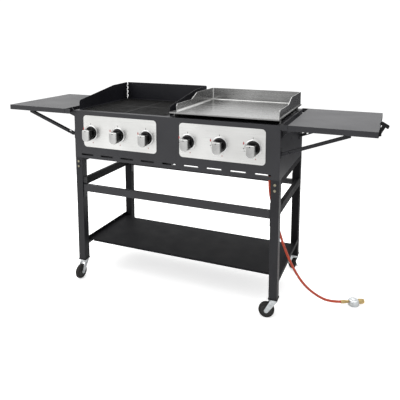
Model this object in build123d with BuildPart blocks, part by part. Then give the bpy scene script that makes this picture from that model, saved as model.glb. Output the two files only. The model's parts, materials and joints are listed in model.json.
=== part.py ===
from build123d import *
import os
from math import cos, degrees, pi, radians, sin, tan

os.makedirs("parts", exist_ok=True)

# Sizes are in millimetres. The floor is z = 0, the front faces -Y and x = 0 is the middle of the body.
body_width = 1100.0
body_depth = 520.0
body_height = 252.0
leg_length = 568.0
caster_height = 100.0
sheet = 1.2
rim_width = 24.0
base_flange = 16.0

# Clearances: between sheet edges, round turning pins, and beside parts that lift or slide out.
seam = 0.5
running = 0.05
sliding = 0.5

half_width = body_width / 2
front_y = -body_depth / 2
rear_y = body_depth / 2
body_bottom = caster_height + leg_length
body_top = body_bottom + body_height


def bent_sheet(plane, points, thickness):
    """Section of a bent sheet, drawn along its middle line on a plane."""
    with BuildSketch(plane) as section:
        with BuildLine():
            FilletPolyline(*points, radius=thickness)
        trace(line_width=thickness)
    return section.sketch


def box_tube(plane, width, height, wall):
    """Section of a rectangular tube, centred on a plane."""
    with BuildSketch(plane) as section:
        RectangleRounded(width, height, wall)
        Rectangle(width - 2 * wall, height - 2 * wall, mode=Mode.SUBTRACT)
    return section.sketch


def facing_front(x, y, z):
    """Plane whose normal points to the front, with x to the right and z up."""
    return Plane((x, y, z), x_dir=(1, 0, 0), z_dir=(0, -1, 0))


# Legs: square tubes with two bolt holes near the top of the outer face.
leg_size = 40.0
leg_wall = 1.5
bolt_radius = 3.0
bolt_clearance = 0.1
leg_bolt_drop = 20.0
leg_bolt_pitch = 27.0
leg_x = half_width - leg_size / 2
leg_y = body_depth / 2 - leg_size / 2
leg_bolt_heights = [body_bottom - leg_bolt_drop - step * leg_bolt_pitch for step in range(2)]
corners = {"front_left": (-1, -1), "front_right": (1, -1), "rear_left": (-1, 1), "rear_right": (1, 1)}
for corner, (x_side, y_side) in corners.items():
    with BuildPart() as leg:
        leg_foot = Plane((x_side * leg_x, y_side * leg_y, caster_height))
        extrude(box_tube(leg_foot, leg_size, leg_size, leg_wall), amount=leg_length)
        for height in leg_bolt_heights:
            with Locations(Plane((x_side * leg_x, y_side * body_depth / 2, height), z_dir=(0, y_side, 0))):
                Hole(bolt_radius + bolt_clearance, depth=2 * leg_wall)
    leg.part.label = f"{corner}_leg"
    export_step(leg.part, f"parts/{corner}_leg.step")

# Side rails between the front and rear legs: two tubes and a lower angle on each side.
upper_rail_width = 25.0
upper_rail_height = 28.0
middle_rail_width = 20.0
middle_rail_height = 40.0
middle_rail_drop = 126.0
lower_rail_height = 22.0
lower_rail_flange = 30.0
lower_rail_base = 172.0
lower_rail_wall = 2.5
rail_wall = 1.5
side_rail_reach = leg_y - leg_size / 2
with BuildPart() as side_rails:
    upper = facing_front(half_width - upper_rail_width / 2, 0, body_bottom - upper_rail_height / 2)
    upper_tube = box_tube(upper, upper_rail_width, upper_rail_height, rail_wall)
    extrude(upper_tube, amount=side_rail_reach, both=True)
    middle_z = body_bottom - middle_rail_drop - middle_rail_height / 2
    middle = facing_front(half_width - middle_rail_width / 2, 0, middle_z)
    middle_tube = box_tube(middle, middle_rail_width, middle_rail_height, rail_wall)
    extrude(middle_tube, amount=side_rail_reach, both=True)
    angle_line = [
        (half_width - lower_rail_wall / 2, lower_rail_base + lower_rail_height),
        (half_width - lower_rail_wall / 2, lower_rail_base + lower_rail_wall / 2),
        (half_width - lower_rail_flange, lower_rail_base + lower_rail_wall / 2),
    ]
    extrude(bent_sheet(Plane.XZ, angle_line, lower_rail_wall), amount=side_rail_reach, both=True)
    mirror(about=Plane.YZ)
side_rails.part.label = "side_rails"
export_step(side_rails.part, "parts/side_rails.step")

# Front and rear rails between the legs, each with a welded plate at both ends.
cross_rail_depth = 20.0
cross_rail_setback = 4.0
front_rail_height = 38.0
front_rail_drop = 145.0
rear_rail_height = 28.0
rear_rail_drop = 142.0
end_plate = 3.0
end_plate_height = 110.0
end_plate_depth = 28.0
leg_inner_x = half_width - leg_size
front_rail = (-1, front_rail_height, front_rail_drop)
rear_rail = (1, rear_rail_height, rear_rail_drop)
with BuildPart() as cross_rails:
    for y_side, height, drop in (front_rail, rear_rail):
        rail_y = y_side * (body_depth / 2 - cross_rail_setback - cross_rail_depth / 2)
        rail_z = body_bottom - drop - height / 2
        rail_plane = Plane((0, rail_y, rail_z), x_dir=(0, 1, 0), z_dir=(1, 0, 0))
        cross_tube = box_tube(rail_plane, cross_rail_depth, height, rail_wall)
        extrude(cross_tube, amount=leg_inner_x - end_plate, both=True)
        for x_side in (-1, 1):
            with Locations((x_side * (leg_inner_x - end_plate / 2), y_side * leg_y, rail_z)):
                Box(end_plate, end_plate_depth, end_plate_height)
cross_rails.part.label = "cross_rails"
export_step(cross_rails.part, "parts/cross_rails.step")

# Bottom shelf: one sheet lying on the lower angles, with its front and rear lips turned down between them
# and two fixing slots at each end.
bottom_shelf_depth = 360.0
bottom_shelf_mid_y = 15.0
bottom_shelf_lip = 10.0
shelf_slot_inset = 26.0
shelf_slot_y = -12.0
shelf_slot_pitch = 40.0
shelf_slot_length = 16.0
shelf_slot_width = 6.0
bottom_shelf_under = lower_rail_base + lower_rail_wall
bottom_shelf_top = bottom_shelf_under + sheet
bottom_shelf_half = half_width - 2 * lower_rail_wall - seam
lip_ys = [bottom_shelf_mid_y + side * (bottom_shelf_depth - sheet) / 2 for side in (-1, 1)]
with BuildPart() as bottom_shelf:
    shelf_line = [
        (lip_ys[0], bottom_shelf_top - bottom_shelf_lip),
        (lip_ys[0], bottom_shelf_top - sheet / 2),
        (lip_ys[1], bottom_shelf_top - sheet / 2),
        (lip_ys[1], bottom_shelf_top - bottom_shelf_lip),
    ]
    extrude(bent_sheet(Plane.YZ, shelf_line, sheet), amount=bottom_shelf_half, both=True)
    for x_side in (-1, 1):
        with Locations((x_side * half_width, bottom_shelf_mid_y, bottom_shelf_under - bottom_shelf_lip / 2)):
            Box(2 * (lower_rail_flange + seam), 2 * bottom_shelf_depth, bottom_shelf_lip, mode=Mode.SUBTRACT)
    with BuildSketch(Plane.XY.offset(bottom_shelf_top)):
        with Locations((0, shelf_slot_y)):
            with GridLocations(2 * (half_width - shelf_slot_inset), shelf_slot_pitch, 2, 2):
                SlotOverall(shelf_slot_length, shelf_slot_width, rotation=90)
    extrude(amount=-sheet, mode=Mode.SUBTRACT)
bottom_shelf.part.label = "bottom_shelf"
export_step(bottom_shelf.part, "parts/bottom_shelf.step")

# Bolts: hexagon heads with plain shanks, through the outer walls of the legs.
bolt_head_radius = 6.5
bolt_head_height = 4.5
bolt_shank = 12.0
bolt_planes = []
for x_side, y_side in corners.values():
    for height in leg_bolt_heights:
        bolt_planes.append(Plane((x_side * leg_x, y_side * body_depth / 2, height), z_dir=(0, y_side, 0)))
with BuildPart() as frame_bolts:
    for bolt_plane in bolt_planes:
        with BuildSketch(bolt_plane):
            RegularPolygon(bolt_head_radius, 6)
        extrude(amount=bolt_head_height)
        with BuildSketch(bolt_plane):
            Circle(bolt_radius)
        extrude(amount=-bolt_shank)
frame_bolts.part.label = "frame_bolts"
export_step(frame_bolts.part, "parts/frame_bolts.step")

# Knob places, shared by the panels, the valves and the burners.
knob_pitch = 162.0
knob_drop = 112.0
knob_z = body_top - knob_drop
knob_shift = -11.0
zone_mid_x = body_width / 4
grill_knob_xs = [knob_shift - zone_mid_x + step * knob_pitch for step in (-1, 0, 1)]
griddle_knob_xs = [knob_shift + zone_mid_x + step * knob_pitch for step in (-1, 0, 1)]
knob_xs = grill_knob_xs + griddle_knob_xs
stem_radius = 4.0
stem_hole_radius = 7.0

# Front panel: one bent sheet with a rim, a base flange, nine air slots and six stem holes.
slot_count = 9
slot_pitch = 118.5
slot_length = 74.0
slot_height = 9.0
slot_rise = 20.0
with BuildPart() as front_panel:
    front_line = [
        (front_y + rim_width, body_top - sheet / 2),
        (front_y + sheet / 2, body_top - sheet / 2),
        (front_y + sheet / 2, body_bottom + sheet / 2),
        (front_y + base_flange, body_bottom + sheet / 2),
    ]
    extrude(bent_sheet(Plane.YZ, front_line, sheet), amount=half_width, both=True)
    for x_side in (-1, 1):
        with Locations((x_side * half_width, front_y + sheet + rim_width, (body_bottom + body_top) / 2)):
            Box(2 * (sheet + seam), 2 * rim_width, 2 * body_height, mode=Mode.SUBTRACT)
    with BuildSketch(facing_front(0, front_y, 0)):
        with Locations((0, body_bottom + slot_rise)):
            with GridLocations(slot_pitch, 1, slot_count, 1):
                SlotOverall(slot_length, slot_height)
        with Locations([(x, knob_z) for x in knob_xs]):
            Circle(stem_hole_radius)
    extrude(amount=-2 * sheet, mode=Mode.SUBTRACT)
front_panel.part.label = "front_panel"
export_step(front_panel.part, "parts/front_panel.step")

# Side panels: bent sheets between the front and rear panels, with a rim, a base flange and one small slot.
side_slot_y = -21.0
side_slot_drop = 102.0
side_slot_z = body_top - side_slot_drop
side_slot_length = 16.0
side_slot_width = 5.0
side_panel_reach = body_depth / 2 - sheet
for side_name, x_side in (("left", -1), ("right", 1)):
    with BuildPart() as side_panel:
        side_line = [
            (x_side * (half_width - rim_width), body_top - sheet / 2),
            (x_side * (half_width - sheet / 2), body_top - sheet / 2),
            (x_side * (half_width - sheet / 2), body_bottom + sheet / 2),
            (x_side * (half_width - base_flange), body_bottom + sheet / 2),
        ]
        extrude(bent_sheet(Plane.XZ, side_line, sheet), amount=side_panel_reach, both=True)
        inner_x = x_side * (half_width - sheet - seam - rim_width)
        for y_side in (-1, 1):
            with Locations((inner_x, y_side * body_depth / 2, (body_bottom + body_top) / 2)):
                Box(2 * rim_width, 2 * (rim_width + seam), 2 * body_height, mode=Mode.SUBTRACT)
        slot_plane = Plane((x_side * half_width, side_slot_y, side_slot_z), x_dir=(0, 1, 0), z_dir=(1, 0, 0))
        with BuildSketch(slot_plane):
            SlotOverall(side_slot_length, side_slot_width, rotation=90)
        extrude(amount=2 * sheet, both=True, mode=Mode.SUBTRACT)
    side_panel.part.label = f"{side_name}_side_panel"
    export_step(side_panel.part, f"parts/{side_name}_side_panel.step")

# Rear panel: shorter than the front, so that the drip trays slide out below it.
rear_panel_height = 192.0
rear_panel_bottom = body_top - rear_panel_height
with BuildPart() as rear_panel:
    rear_line = [
        (rear_y - rim_width, body_top - sheet / 2),
        (rear_y - sheet / 2, body_top - sheet / 2),
        (rear_y - sheet / 2, rear_panel_bottom),
    ]
    extrude(bent_sheet(Plane.YZ, rear_line, sheet), amount=half_width, both=True)
    for x_side in (-1, 1):
        with Locations((x_side * half_width, rear_y - sheet - rim_width, body_top)):
            Box(2 * (sheet + seam), 2 * rim_width, 2 * rim_width, mode=Mode.SUBTRACT)
rear_panel.part.label = "rear_panel"
export_step(rear_panel.part, "parts/rear_panel.step")

# Gas manifold places, needed by the divider that it runs through.
manifold_radius = 11.0
manifold_hole_radius = 13.0
valve_width = 28.0
valve_depth = 34.0
valve_height = 30.0
valve_gap = 8.0
valve_neck = 12.0
valve_y = front_y + sheet + valve_gap + valve_depth / 2
manifold_z = knob_z - valve_height / 2 - valve_neck - manifold_radius

# Divider: a T section between the grill and the griddle, its web cleared for the manifold.
divider_rise = 22.0
divider_bottom = body_bottom + divider_rise
with BuildPart() as divider:
    with BuildSketch(Plane.YZ) as web:
        with Locations((0, divider_bottom)):
            divider_height = body_top - sheet - divider_bottom
            Rectangle(2 * side_panel_reach, divider_height, align=(Align.CENTER, Align.MIN))
        chamfer(web.vertices().group_by(Axis.Y)[-1], sheet)
    extrude(amount=sheet / 2, both=True)
    with BuildSketch(Plane.XY.offset(body_top - sheet)):
        Rectangle(2 * rim_width, body_depth - 2 * rim_width - 2 * seam)
    extrude(amount=sheet)
    with BuildSketch(Plane((0, valve_y, manifold_z), x_dir=(0, 1, 0), z_dir=(1, 0, 0))):
        Circle(manifold_hole_radius)
    extrude(amount=2 * sheet, both=True, mode=Mode.SUBTRACT)
divider.part.label = "divider"
export_step(divider.part, "parts/divider.step")

# Control panels: plain stainless plates on the front panel.
control_width = 426.0
control_height = 166.0
control_top_gap = 22.0
control_sheet = 1.5
control_corner = 18.0
control_shift = -4.0
control_z = body_top - control_top_gap - control_height / 2
left_control = ("left", control_shift - zone_mid_x, grill_knob_xs)
right_control = ("right", control_shift + zone_mid_x, griddle_knob_xs)
for side_name, panel_x, stem_xs in (left_control, right_control):
    with BuildPart() as control_panel:
        with BuildSketch(facing_front(0, front_y, 0)):
            with Locations((panel_x, control_z)):
                RectangleRounded(control_width, control_height, control_corner)
            with Locations([(x, knob_z) for x in stem_xs]):
                Circle(stem_hole_radius, mode=Mode.SUBTRACT)
        extrude(amount=control_sheet)
    control_panel.part.label = f"{side_name}_control_panel"
    export_step(control_panel.part, f"parts/{side_name}_control_panel.step")

# Knob bezels: flat rings on the control panels.
bezel_radius = 40.0
bezel_hole_radius = 13.0
bezel_depth = 2.0
bezel_back_y = front_y - control_sheet
with BuildPart() as knob_bezels:
    for x in knob_xs:
        with BuildSketch(facing_front(x, bezel_back_y, knob_z)):
            Circle(bezel_radius)
            Circle(bezel_hole_radius, mode=Mode.SUBTRACT)
        extrude(amount=bezel_depth)
knob_bezels.part.label = "knob_bezels"
export_step(knob_bezels.part, "parts/knob_bezels.step")

# Knobs: a round skirt and a grip with a flat top and a round lower end, bored for the valve stem.
skirt_radius = 30.0
skirt_depth = 9.0
grip_width = 43.0
grip_top = 20.5
grip_bottom = 39.0
grip_depth = 36.0
grip_corner = 6.0
grip_straight = grip_top + grip_bottom - grip_width / 2
grip_taper = 2.0
grip_edge = 2.0
knob_gap = 0.8
bore_depth = 24.0
knob_back_y = bezel_back_y - bezel_depth - knob_gap
for number, x in enumerate(knob_xs, start=1):
    with BuildPart() as knob:
        knob_plane = facing_front(x, knob_back_y, knob_z)
        with BuildSketch(knob_plane):
            Circle(skirt_radius)
        extrude(amount=skirt_depth)
        with BuildSketch(knob_plane.offset(skirt_depth)) as grip:
            with Locations((0, grip_width / 2 - grip_bottom)):
                Circle(grip_width / 2)
                Rectangle(grip_width, grip_straight, align=(Align.CENTER, Align.MIN))
            fillet(grip.vertices().group_by(Axis.Y)[-1], grip_corner)
        extrude(amount=grip_depth, taper=grip_taper)
        fillet(knob.faces().sort_by(Axis.Y)[0].edges(), grip_edge)
        with BuildSketch(knob_plane):
            Circle(stem_radius + running)
        extrude(amount=bore_depth, mode=Mode.SUBTRACT)
    knob.part.label = f"knob_{number}"
    export_step(knob.part, f"parts/knob_{number}.step")

# Gas valves: a block on a neck, with the stem to the knob in front and the jet to the burner behind.
valve_neck_radius = 7.0
valve_neck_gap = 0.2
jet_radius = 4.0
jet_length = 20.0
valve_front_y = valve_y - valve_depth / 2
stem_end_gap = 2.0
stem_tip_y = knob_back_y - bore_depth + stem_end_gap
with BuildPart() as gas_valves:
    for x in knob_xs:
        with Locations((x, valve_y, knob_z)):
            Box(valve_width, valve_depth, valve_height)
        with BuildSketch(facing_front(x, valve_front_y, knob_z)):
            Circle(stem_radius)
        extrude(amount=valve_front_y - stem_tip_y)
        with BuildSketch(facing_front(x, valve_y + valve_depth / 2, knob_z)):
            Circle(jet_radius)
        extrude(amount=-jet_length)
        with BuildSketch(Plane((x, valve_y, knob_z - valve_height / 2))):
            Circle(valve_neck_radius)
        extrude(amount=-(valve_neck - valve_neck_gap))
gas_valves.part.label = "gas_valves"
export_step(gas_valves.part, "parts/gas_valves.step")

# Gas manifold: a pipe below the valves that turns down to the hose, held to the front panel by two tabs.
manifold_overrun = 40.0
manifold_end_x = grill_knob_xs[0] - manifold_overrun
inlet_inset = 52.0
inlet_rise = 32.0
inlet_x = half_width - inlet_inset
inlet_z = body_bottom + inlet_rise
manifold_bend = 30.0
ferrule_radius = 10.0
ferrule_length = 26.0
tab_width = 4.0
tab_height = 18.0
with BuildPart() as gas_manifold:
    with BuildLine():
        pipe_line = FilletPolyline(
            (manifold_end_x, valve_y, manifold_z),
            (inlet_x, valve_y, manifold_z),
            (inlet_x, valve_y, inlet_z + ferrule_length),
            radius=manifold_bend,
        )
    with BuildSketch(Plane((manifold_end_x, valve_y, manifold_z), z_dir=(1, 0, 0))):
        Circle(manifold_radius)
    sweep(path=pipe_line)
    with BuildSketch(Plane((inlet_x, valve_y, inlet_z))):
        Circle(ferrule_radius)
    extrude(amount=ferrule_length)
    for x_side in (-1, 1):
        with Locations((x_side * zone_mid_x + knob_pitch / 2, (front_y + sheet + valve_y) / 2, manifold_z)):
            Box(tab_width, valve_y - front_y - sheet, tab_height)
gas_manifold.part.label = "gas_manifold"
export_step(gas_manifold.part, "parts/gas_manifold.step")

# Burners: thin tubes that narrow behind the mouth and widen to a long closed barrel.
burner_wall = 1.5
mouth_radius = 15.0
throat_radius = 11.0
barrel_radius = 19.0
jet_overlap = 6.0
burner_front_y = valve_y + valve_depth / 2 + jet_length - jet_overlap
burner_length = 400.0
burner_outline = [
    (0, mouth_radius),
    (25, mouth_radius),
    (45, throat_radius),
    (75, throat_radius),
    (110, barrel_radius),
    (burner_length, barrel_radius),
]
burner_inside = [(along, radius - burner_wall) for along, radius in reversed(burner_outline[:-1])]
burner_end = [
    (burner_length, 0),
    (burner_length - burner_wall, 0),
    (burner_length - burner_wall, barrel_radius - burner_wall),
]
for zone_name, zone_xs in (("grill", grill_knob_xs), ("griddle", griddle_knob_xs)):
    with BuildPart() as burners:
        for x in zone_xs:
            with BuildSketch(Plane((x, burner_front_y, knob_z), x_dir=(0, 1, 0), z_dir=(1, 0, 0))):
                with BuildLine():
                    Polyline(*burner_outline, *burner_end, *burner_inside, close=True)
                make_face()
            revolve(axis=Axis((x, burner_front_y, knob_z), (0, 1, 0)))
    burners.part.label = f"{zone_name}_burners"
    export_step(burners.part, f"parts/{zone_name}_burners.step")

# Grates: two cast plates with long slots, lying side by side inside the rim of the grill half.
grate_thickness = 14.0
grate_below_rim = 3.0
grate_frame = 8.0
grate_bar = 6.5
grate_slot_count = 17
grate_rows = 2
grate_bottom = body_top - grate_below_rim - grate_thickness
grate_width = (half_width - 2 * rim_width - 4 * sliding) / 2
grate_length = body_depth - 2 * rim_width - 4 * sliding
grate_slot_pitch = (grate_width - 2 * grate_frame + grate_bar) / grate_slot_count
grate_row_pitch = (grate_length - 2 * grate_frame + grate_bar) / grate_rows
for side_name, x_side in (("left", -1), ("right", 1)):
    with BuildPart() as grate:
        grate_x = -zone_mid_x + x_side * (grate_width + sliding) / 2
        with BuildSketch(Plane((grate_x, 0, grate_bottom))):
            Rectangle(grate_width, grate_length)
            with GridLocations(grate_slot_pitch, grate_row_pitch, grate_slot_count, grate_rows):
                Rectangle(grate_slot_pitch - grate_bar, grate_row_pitch - grate_bar, mode=Mode.SUBTRACT)
        extrude(amount=grate_thickness)
    grate.part.label = f"{side_name}_grate"
    export_step(grate.part, f"parts/{side_name}_grate.step")

# Flame tamers: folded roofs over the grill burners, with flat edges.
tamer_lift = 38.0
tamer_end_gap = 4.0
tamer_z = knob_z + tamer_lift
tamer_half_width = 58.0
tamer_edge = 12.0
tamer_rise = 28.0
tamer_reach = body_depth / 2 - sheet - tamer_end_gap
with BuildPart() as flame_tamers:
    for x in grill_knob_xs:
        roof_line = [
            (x - tamer_half_width, tamer_z + sheet / 2),
            (x - tamer_half_width + tamer_edge, tamer_z + sheet / 2),
            (x, tamer_z + tamer_rise),
            (x + tamer_half_width - tamer_edge, tamer_z + sheet / 2),
            (x + tamer_half_width, tamer_z + sheet / 2),
        ]
        extrude(bent_sheet(Plane.XZ, roof_line, sheet), amount=tamer_reach, both=True)
flame_tamers.part.label = "flame_tamers"
export_step(flame_tamers.part, "parts/flame_tamers.step")

# Inner rails: ledges for the grates and the tamers, and two angles under the burners of each half.
ledge_height = 20.0
grate_seat = 8.0
grate_ledge_width = rim_width + grate_seat
tamer_ledge_width = 24.0
burner_rail_width = 18.0
burner_rail_front = 125.0
burner_rail_pitch = 240.0
burner_seat_gap = 0.3
burner_rail_ys = [burner_front_y + burner_rail_front, burner_front_y + burner_rail_front + burner_rail_pitch]
burner_rail_top = knob_z - barrel_radius - burner_seat_gap
zone_half_length = (half_width - 1.5 * sheet) / 2
zone_rail_x = (half_width - sheet / 2) / 2
with BuildPart() as inner_rails:
    grill_plane = Plane((-zone_rail_x, 0, 0), x_dir=(0, 1, 0), z_dir=(1, 0, 0))
    griddle_plane = Plane((zone_rail_x, 0, 0), x_dir=(0, 1, 0), z_dir=(1, 0, 0))
    for ledge_top, ledge_width in ((grate_bottom, grate_ledge_width), (tamer_z, tamer_ledge_width)):
        for y_side in (-1, 1):
            wall_y = y_side * (body_depth / 2 - sheet)
            ledge_line = [
                (wall_y - y_side * sheet / 2, ledge_top - ledge_height),
                (wall_y - y_side * sheet / 2, ledge_top - sheet / 2),
                (wall_y - y_side * ledge_width, ledge_top - sheet / 2),
            ]
            extrude(bent_sheet(grill_plane, ledge_line, sheet), amount=zone_half_length, both=True)
    for rail_y in burner_rail_ys:
        rail_line = [
            (rail_y, burner_rail_top - ledge_height),
            (rail_y, burner_rail_top - sheet / 2),
            (rail_y + burner_rail_width, burner_rail_top - sheet / 2),
        ]
        for zone_plane in (grill_plane, griddle_plane):
            extrude(bent_sheet(zone_plane, rail_line, sheet), amount=zone_half_length, both=True)
inner_rails.part.label = "inner_rails"
export_step(inner_rails.part, "parts/inner_rails.step")

# Griddle: a thick plate with a low stepped wall on three sides, welded into one piece.
griddle_width = 538.0
griddle_depth = 505.0
griddle_plate = 6.0
griddle_wall = 3.0
griddle_lift = 20.0
wall_setback = 27.0
left_wall_inset = 24.0
right_wall_inset = 5.0
wall_low = 43.0
wall_high = 72.0
wall_corner = 12.0
step_start = 205.0
step_end = 275.0
step_radius = 35.0
griddle_bottom = body_top + griddle_lift
griddle_rear_y = front_y + griddle_depth
left_wall_x = zone_mid_x - griddle_width / 2 + left_wall_inset
right_wall_x = zone_mid_x + griddle_width / 2 - right_wall_inset
rear_wall_x = (left_wall_x + right_wall_x) / 2
with BuildPart() as griddle:
    with BuildSketch(Plane((zone_mid_x, front_y + griddle_depth / 2, griddle_bottom))):
        Rectangle(griddle_width, griddle_depth)
    extrude(amount=griddle_plate)
    for wall_x in (left_wall_x, right_wall_x - griddle_wall):
        wall_plane = Plane((wall_x, front_y, griddle_bottom), x_dir=(0, 1, 0), z_dir=(1, 0, 0))
        with BuildSketch(wall_plane) as side_wall:
            with BuildLine():
                Polyline(
                    (wall_setback, 0),
                    (wall_setback, wall_low),
                    (step_start, wall_low),
                    (step_end, wall_high),
                    (griddle_depth, wall_high),
                    (griddle_depth, 0),
                    close=True,
                )
            make_face()
            step_corners = side_wall.vertices().filter_by_position(Axis.X, step_start - 1, step_end + 1)
            fillet(step_corners, step_radius)
            fillet(side_wall.vertices().sort_by(Axis.X)[:2].sort_by(Axis.Y)[-1], wall_corner)
        extrude(amount=griddle_wall)
    rear_wall_plane = Plane((rear_wall_x, griddle_rear_y, griddle_bottom), x_dir=(1, 0, 0), z_dir=(0, -1, 0))
    with BuildSketch(rear_wall_plane):
        with Locations((0, wall_high / 2)):
            Rectangle(right_wall_x - left_wall_x, wall_high)
    extrude(amount=griddle_wall)
griddle.part.label = "griddle"
export_step(griddle.part, "parts/griddle.step")

# Griddle feet: studs with round pads that stand on the side rim and on the divider.
foot_pad_radius = 8.0
foot_pad_height = 4.0
foot_stud_radius = 4.0
foot_front = 45.0
foot_rear = 420.0
foot_gap = 0.2
foot_xs = [rim_width / 2, half_width - rim_width / 2]
foot_ys = [front_y + foot_front, front_y + foot_rear]
with BuildPart() as griddle_feet:
    for x in foot_xs:
        for y in foot_ys:
            with BuildSketch(Plane((x, y, body_top + foot_gap))):
                Circle(foot_pad_radius)
            extrude(amount=foot_pad_height)
            with BuildSketch(Plane((x, y, body_top + foot_gap))):
                Circle(foot_stud_radius)
            extrude(amount=griddle_lift - foot_gap)
griddle_feet.part.label = "griddle_feet"
export_step(griddle_feet.part, "parts/griddle_feet.step")

# Windshield: two side sheets and a rear sheet on the rim of the grill half, toothed where they meet.
shield_sheet = 1.5
shield_inset = 8.0
shield_setback = 35.0
shield_front_rise = 48.0
shield_knee_rise = 97.0
shield_rear_rise = 101.0
shield_knee = 357.0
shield_corner = 14.0
shield_flange = 12.0
shield_gap = 5.0
tooth_count = 4
tooth_depth = 5.5
shield_rear_y = rear_y - shield_inset
tooth_pitch = shield_knee_rise / tooth_count
tooth_height = tooth_pitch * 0.42
side_edge_y = shield_rear_y - shield_sheet - shield_gap
shield_left_x = -half_width + shield_inset
shield_right_x = -shield_inset
tooth_offsets = [(step - tooth_count / 2 + 0.5) * tooth_pitch for step in range(tooth_count)]
tooth_middle = shield_knee_rise / 2
for side_name, sheet_x, inward in (("left", shield_left_x, 1), ("right", shield_right_x, -1)):
    with BuildPart() as side_shield:
        shield_plane = Plane((sheet_x, 0, body_top), x_dir=(0, 1, 0), z_dir=(1, 0, 0))
        with BuildSketch(shield_plane) as outline:
            with BuildLine():
                Polyline(
                    (front_y + shield_setback, 0),
                    (front_y + shield_setback, shield_front_rise),
                    (front_y + shield_knee, shield_knee_rise),
                    (side_edge_y, shield_rear_rise),
                    (side_edge_y, 0),
                    close=True,
                )
            make_face()
            fillet(outline.vertices().sort_by(Axis.X)[:2].sort_by(Axis.Y)[-1], shield_corner)
            for offset_z in tooth_offsets:
                with Locations((side_edge_y, tooth_middle + offset_z + tooth_pitch / 4)):
                    Rectangle(tooth_depth, tooth_height, align=(Align.MIN, Align.CENTER))
        extrude(amount=inward * shield_sheet)
        with BuildSketch(Plane((sheet_x, 0, body_top))):
            with Locations((inward * shield_flange / 2, (front_y + shield_setback + side_edge_y) / 2)):
                Rectangle(shield_flange, side_edge_y - front_y - shield_setback)
        extrude(amount=shield_sheet)
    side_shield.part.label = f"windshield_{side_name}"
    export_step(side_shield.part, f"parts/windshield_{side_name}.step")

rear_shield_left = shield_left_x + shield_sheet + shield_gap
rear_shield_right = shield_right_x - shield_sheet - shield_gap
rear_shield_width = rear_shield_right - rear_shield_left
rear_shield_x = (rear_shield_left + rear_shield_right) / 2
with BuildPart() as windshield_rear:
    with BuildSketch(facing_front(rear_shield_x, shield_rear_y, body_top)):
        with Locations((0, shield_rear_rise / 2)):
            Rectangle(rear_shield_width, shield_rear_rise)
        for offset_z in tooth_offsets:
            with Locations((0, tooth_middle + offset_z - tooth_pitch / 4)):
                Rectangle(rear_shield_width + 2 * tooth_depth, tooth_height)
    extrude(amount=shield_sheet)
    with BuildSketch(Plane((rear_shield_x, shield_rear_y - shield_flange / 2, body_top))):
        Rectangle(rear_shield_width - 2 * shield_flange, shield_flange)
    extrude(amount=shield_sheet)
windshield_rear.part.label = "windshield_rear"
export_step(windshield_rear.part, "parts/windshield_rear.step")

# Tray runners: angles on the side panels and on the divider, two under each drip tray.
runner_width = 26.0
runner_wall_rise = 46.0
runner_rises = {"grill": 6.0, "griddle": 28.0}
tray_front_gaps = {"grill": 24.0, "griddle": 55.0}
runner_rear_gap = 8.0
runner_rear_y = rear_y - runner_rear_gap
runner_outer_x = half_width - sheet
runner_inner_x = sheet / 2
zone_sides = {"grill": -1, "griddle": 1}
with BuildPart() as tray_runners:
    for zone_name, x_side in zone_sides.items():
        runner_top = body_bottom + runner_rises[zone_name]
        tray_front_y = front_y + tray_front_gaps[zone_name]
        runner_plane = facing_front(0, (tray_front_y + runner_rear_y) / 2, 0)
        for wall_x, inward in ((runner_outer_x, -1), (runner_inner_x, 1)):
            runner_line = [
                (x_side * (wall_x + inward * sheet / 2), body_bottom + runner_wall_rise),
                (x_side * (wall_x + inward * sheet / 2), runner_top - sheet / 2),
                (x_side * (wall_x + inward * runner_width), runner_top - sheet / 2),
            ]
            runner_section = bent_sheet(runner_plane, runner_line, sheet)
            extrude(runner_section, amount=(runner_rear_y - tray_front_y) / 2, both=True)
tray_runners.part.label = "tray_runners"
export_step(tray_runners.part, "parts/tray_runners.step")

# Drip trays: open pans that slide out to the rear, each with a folded pull along its rear edge.
tray_sheet = 1.0
tray_rim_rise = 50.5
tray_pull_width = 220.0
tray_pull_reach = 14.0
tray_pull_drop = 12.0
tray_overhang = 2.0
tray_rim = body_bottom + tray_rim_rise
tray_rear_y = rear_y + tray_overhang
tray_width = runner_outer_x - runner_inner_x - 2 * sheet - 4 * sliding
for zone_name, x_side in zone_sides.items():
    with BuildPart() as tray:
        tray_x = x_side * (runner_outer_x + runner_inner_x) / 2
        tray_bottom = body_bottom + runner_rises[zone_name] + sliding
        tray_front_y = front_y + tray_front_gaps[zone_name]
        with BuildSketch(Plane((tray_x, (tray_front_y + tray_rear_y) / 2, tray_bottom))):
            Rectangle(tray_width, tray_rear_y - tray_front_y)
        extrude(amount=tray_rim - tray_bottom)
        offset(amount=-tray_sheet, openings=tray.faces().sort_by(Axis.Z)[-1])
        pull_line = [
            (tray_rear_y - tray_sheet, tray_rim - tray_sheet / 2),
            (tray_rear_y + tray_pull_reach, tray_rim - tray_sheet / 2),
            (tray_rear_y + tray_pull_reach, tray_rim - tray_pull_drop),
        ]
        pull_plane = Plane((tray_x, 0, 0), x_dir=(0, 1, 0), z_dir=(1, 0, 0))
        extrude(bent_sheet(pull_plane, pull_line, tray_sheet), amount=tray_pull_width / 2, both=True)
    tray.part.label = f"{zone_name}_drip_tray"
    export_step(tray.part, f"parts/{zone_name}_drip_tray.step")

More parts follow.
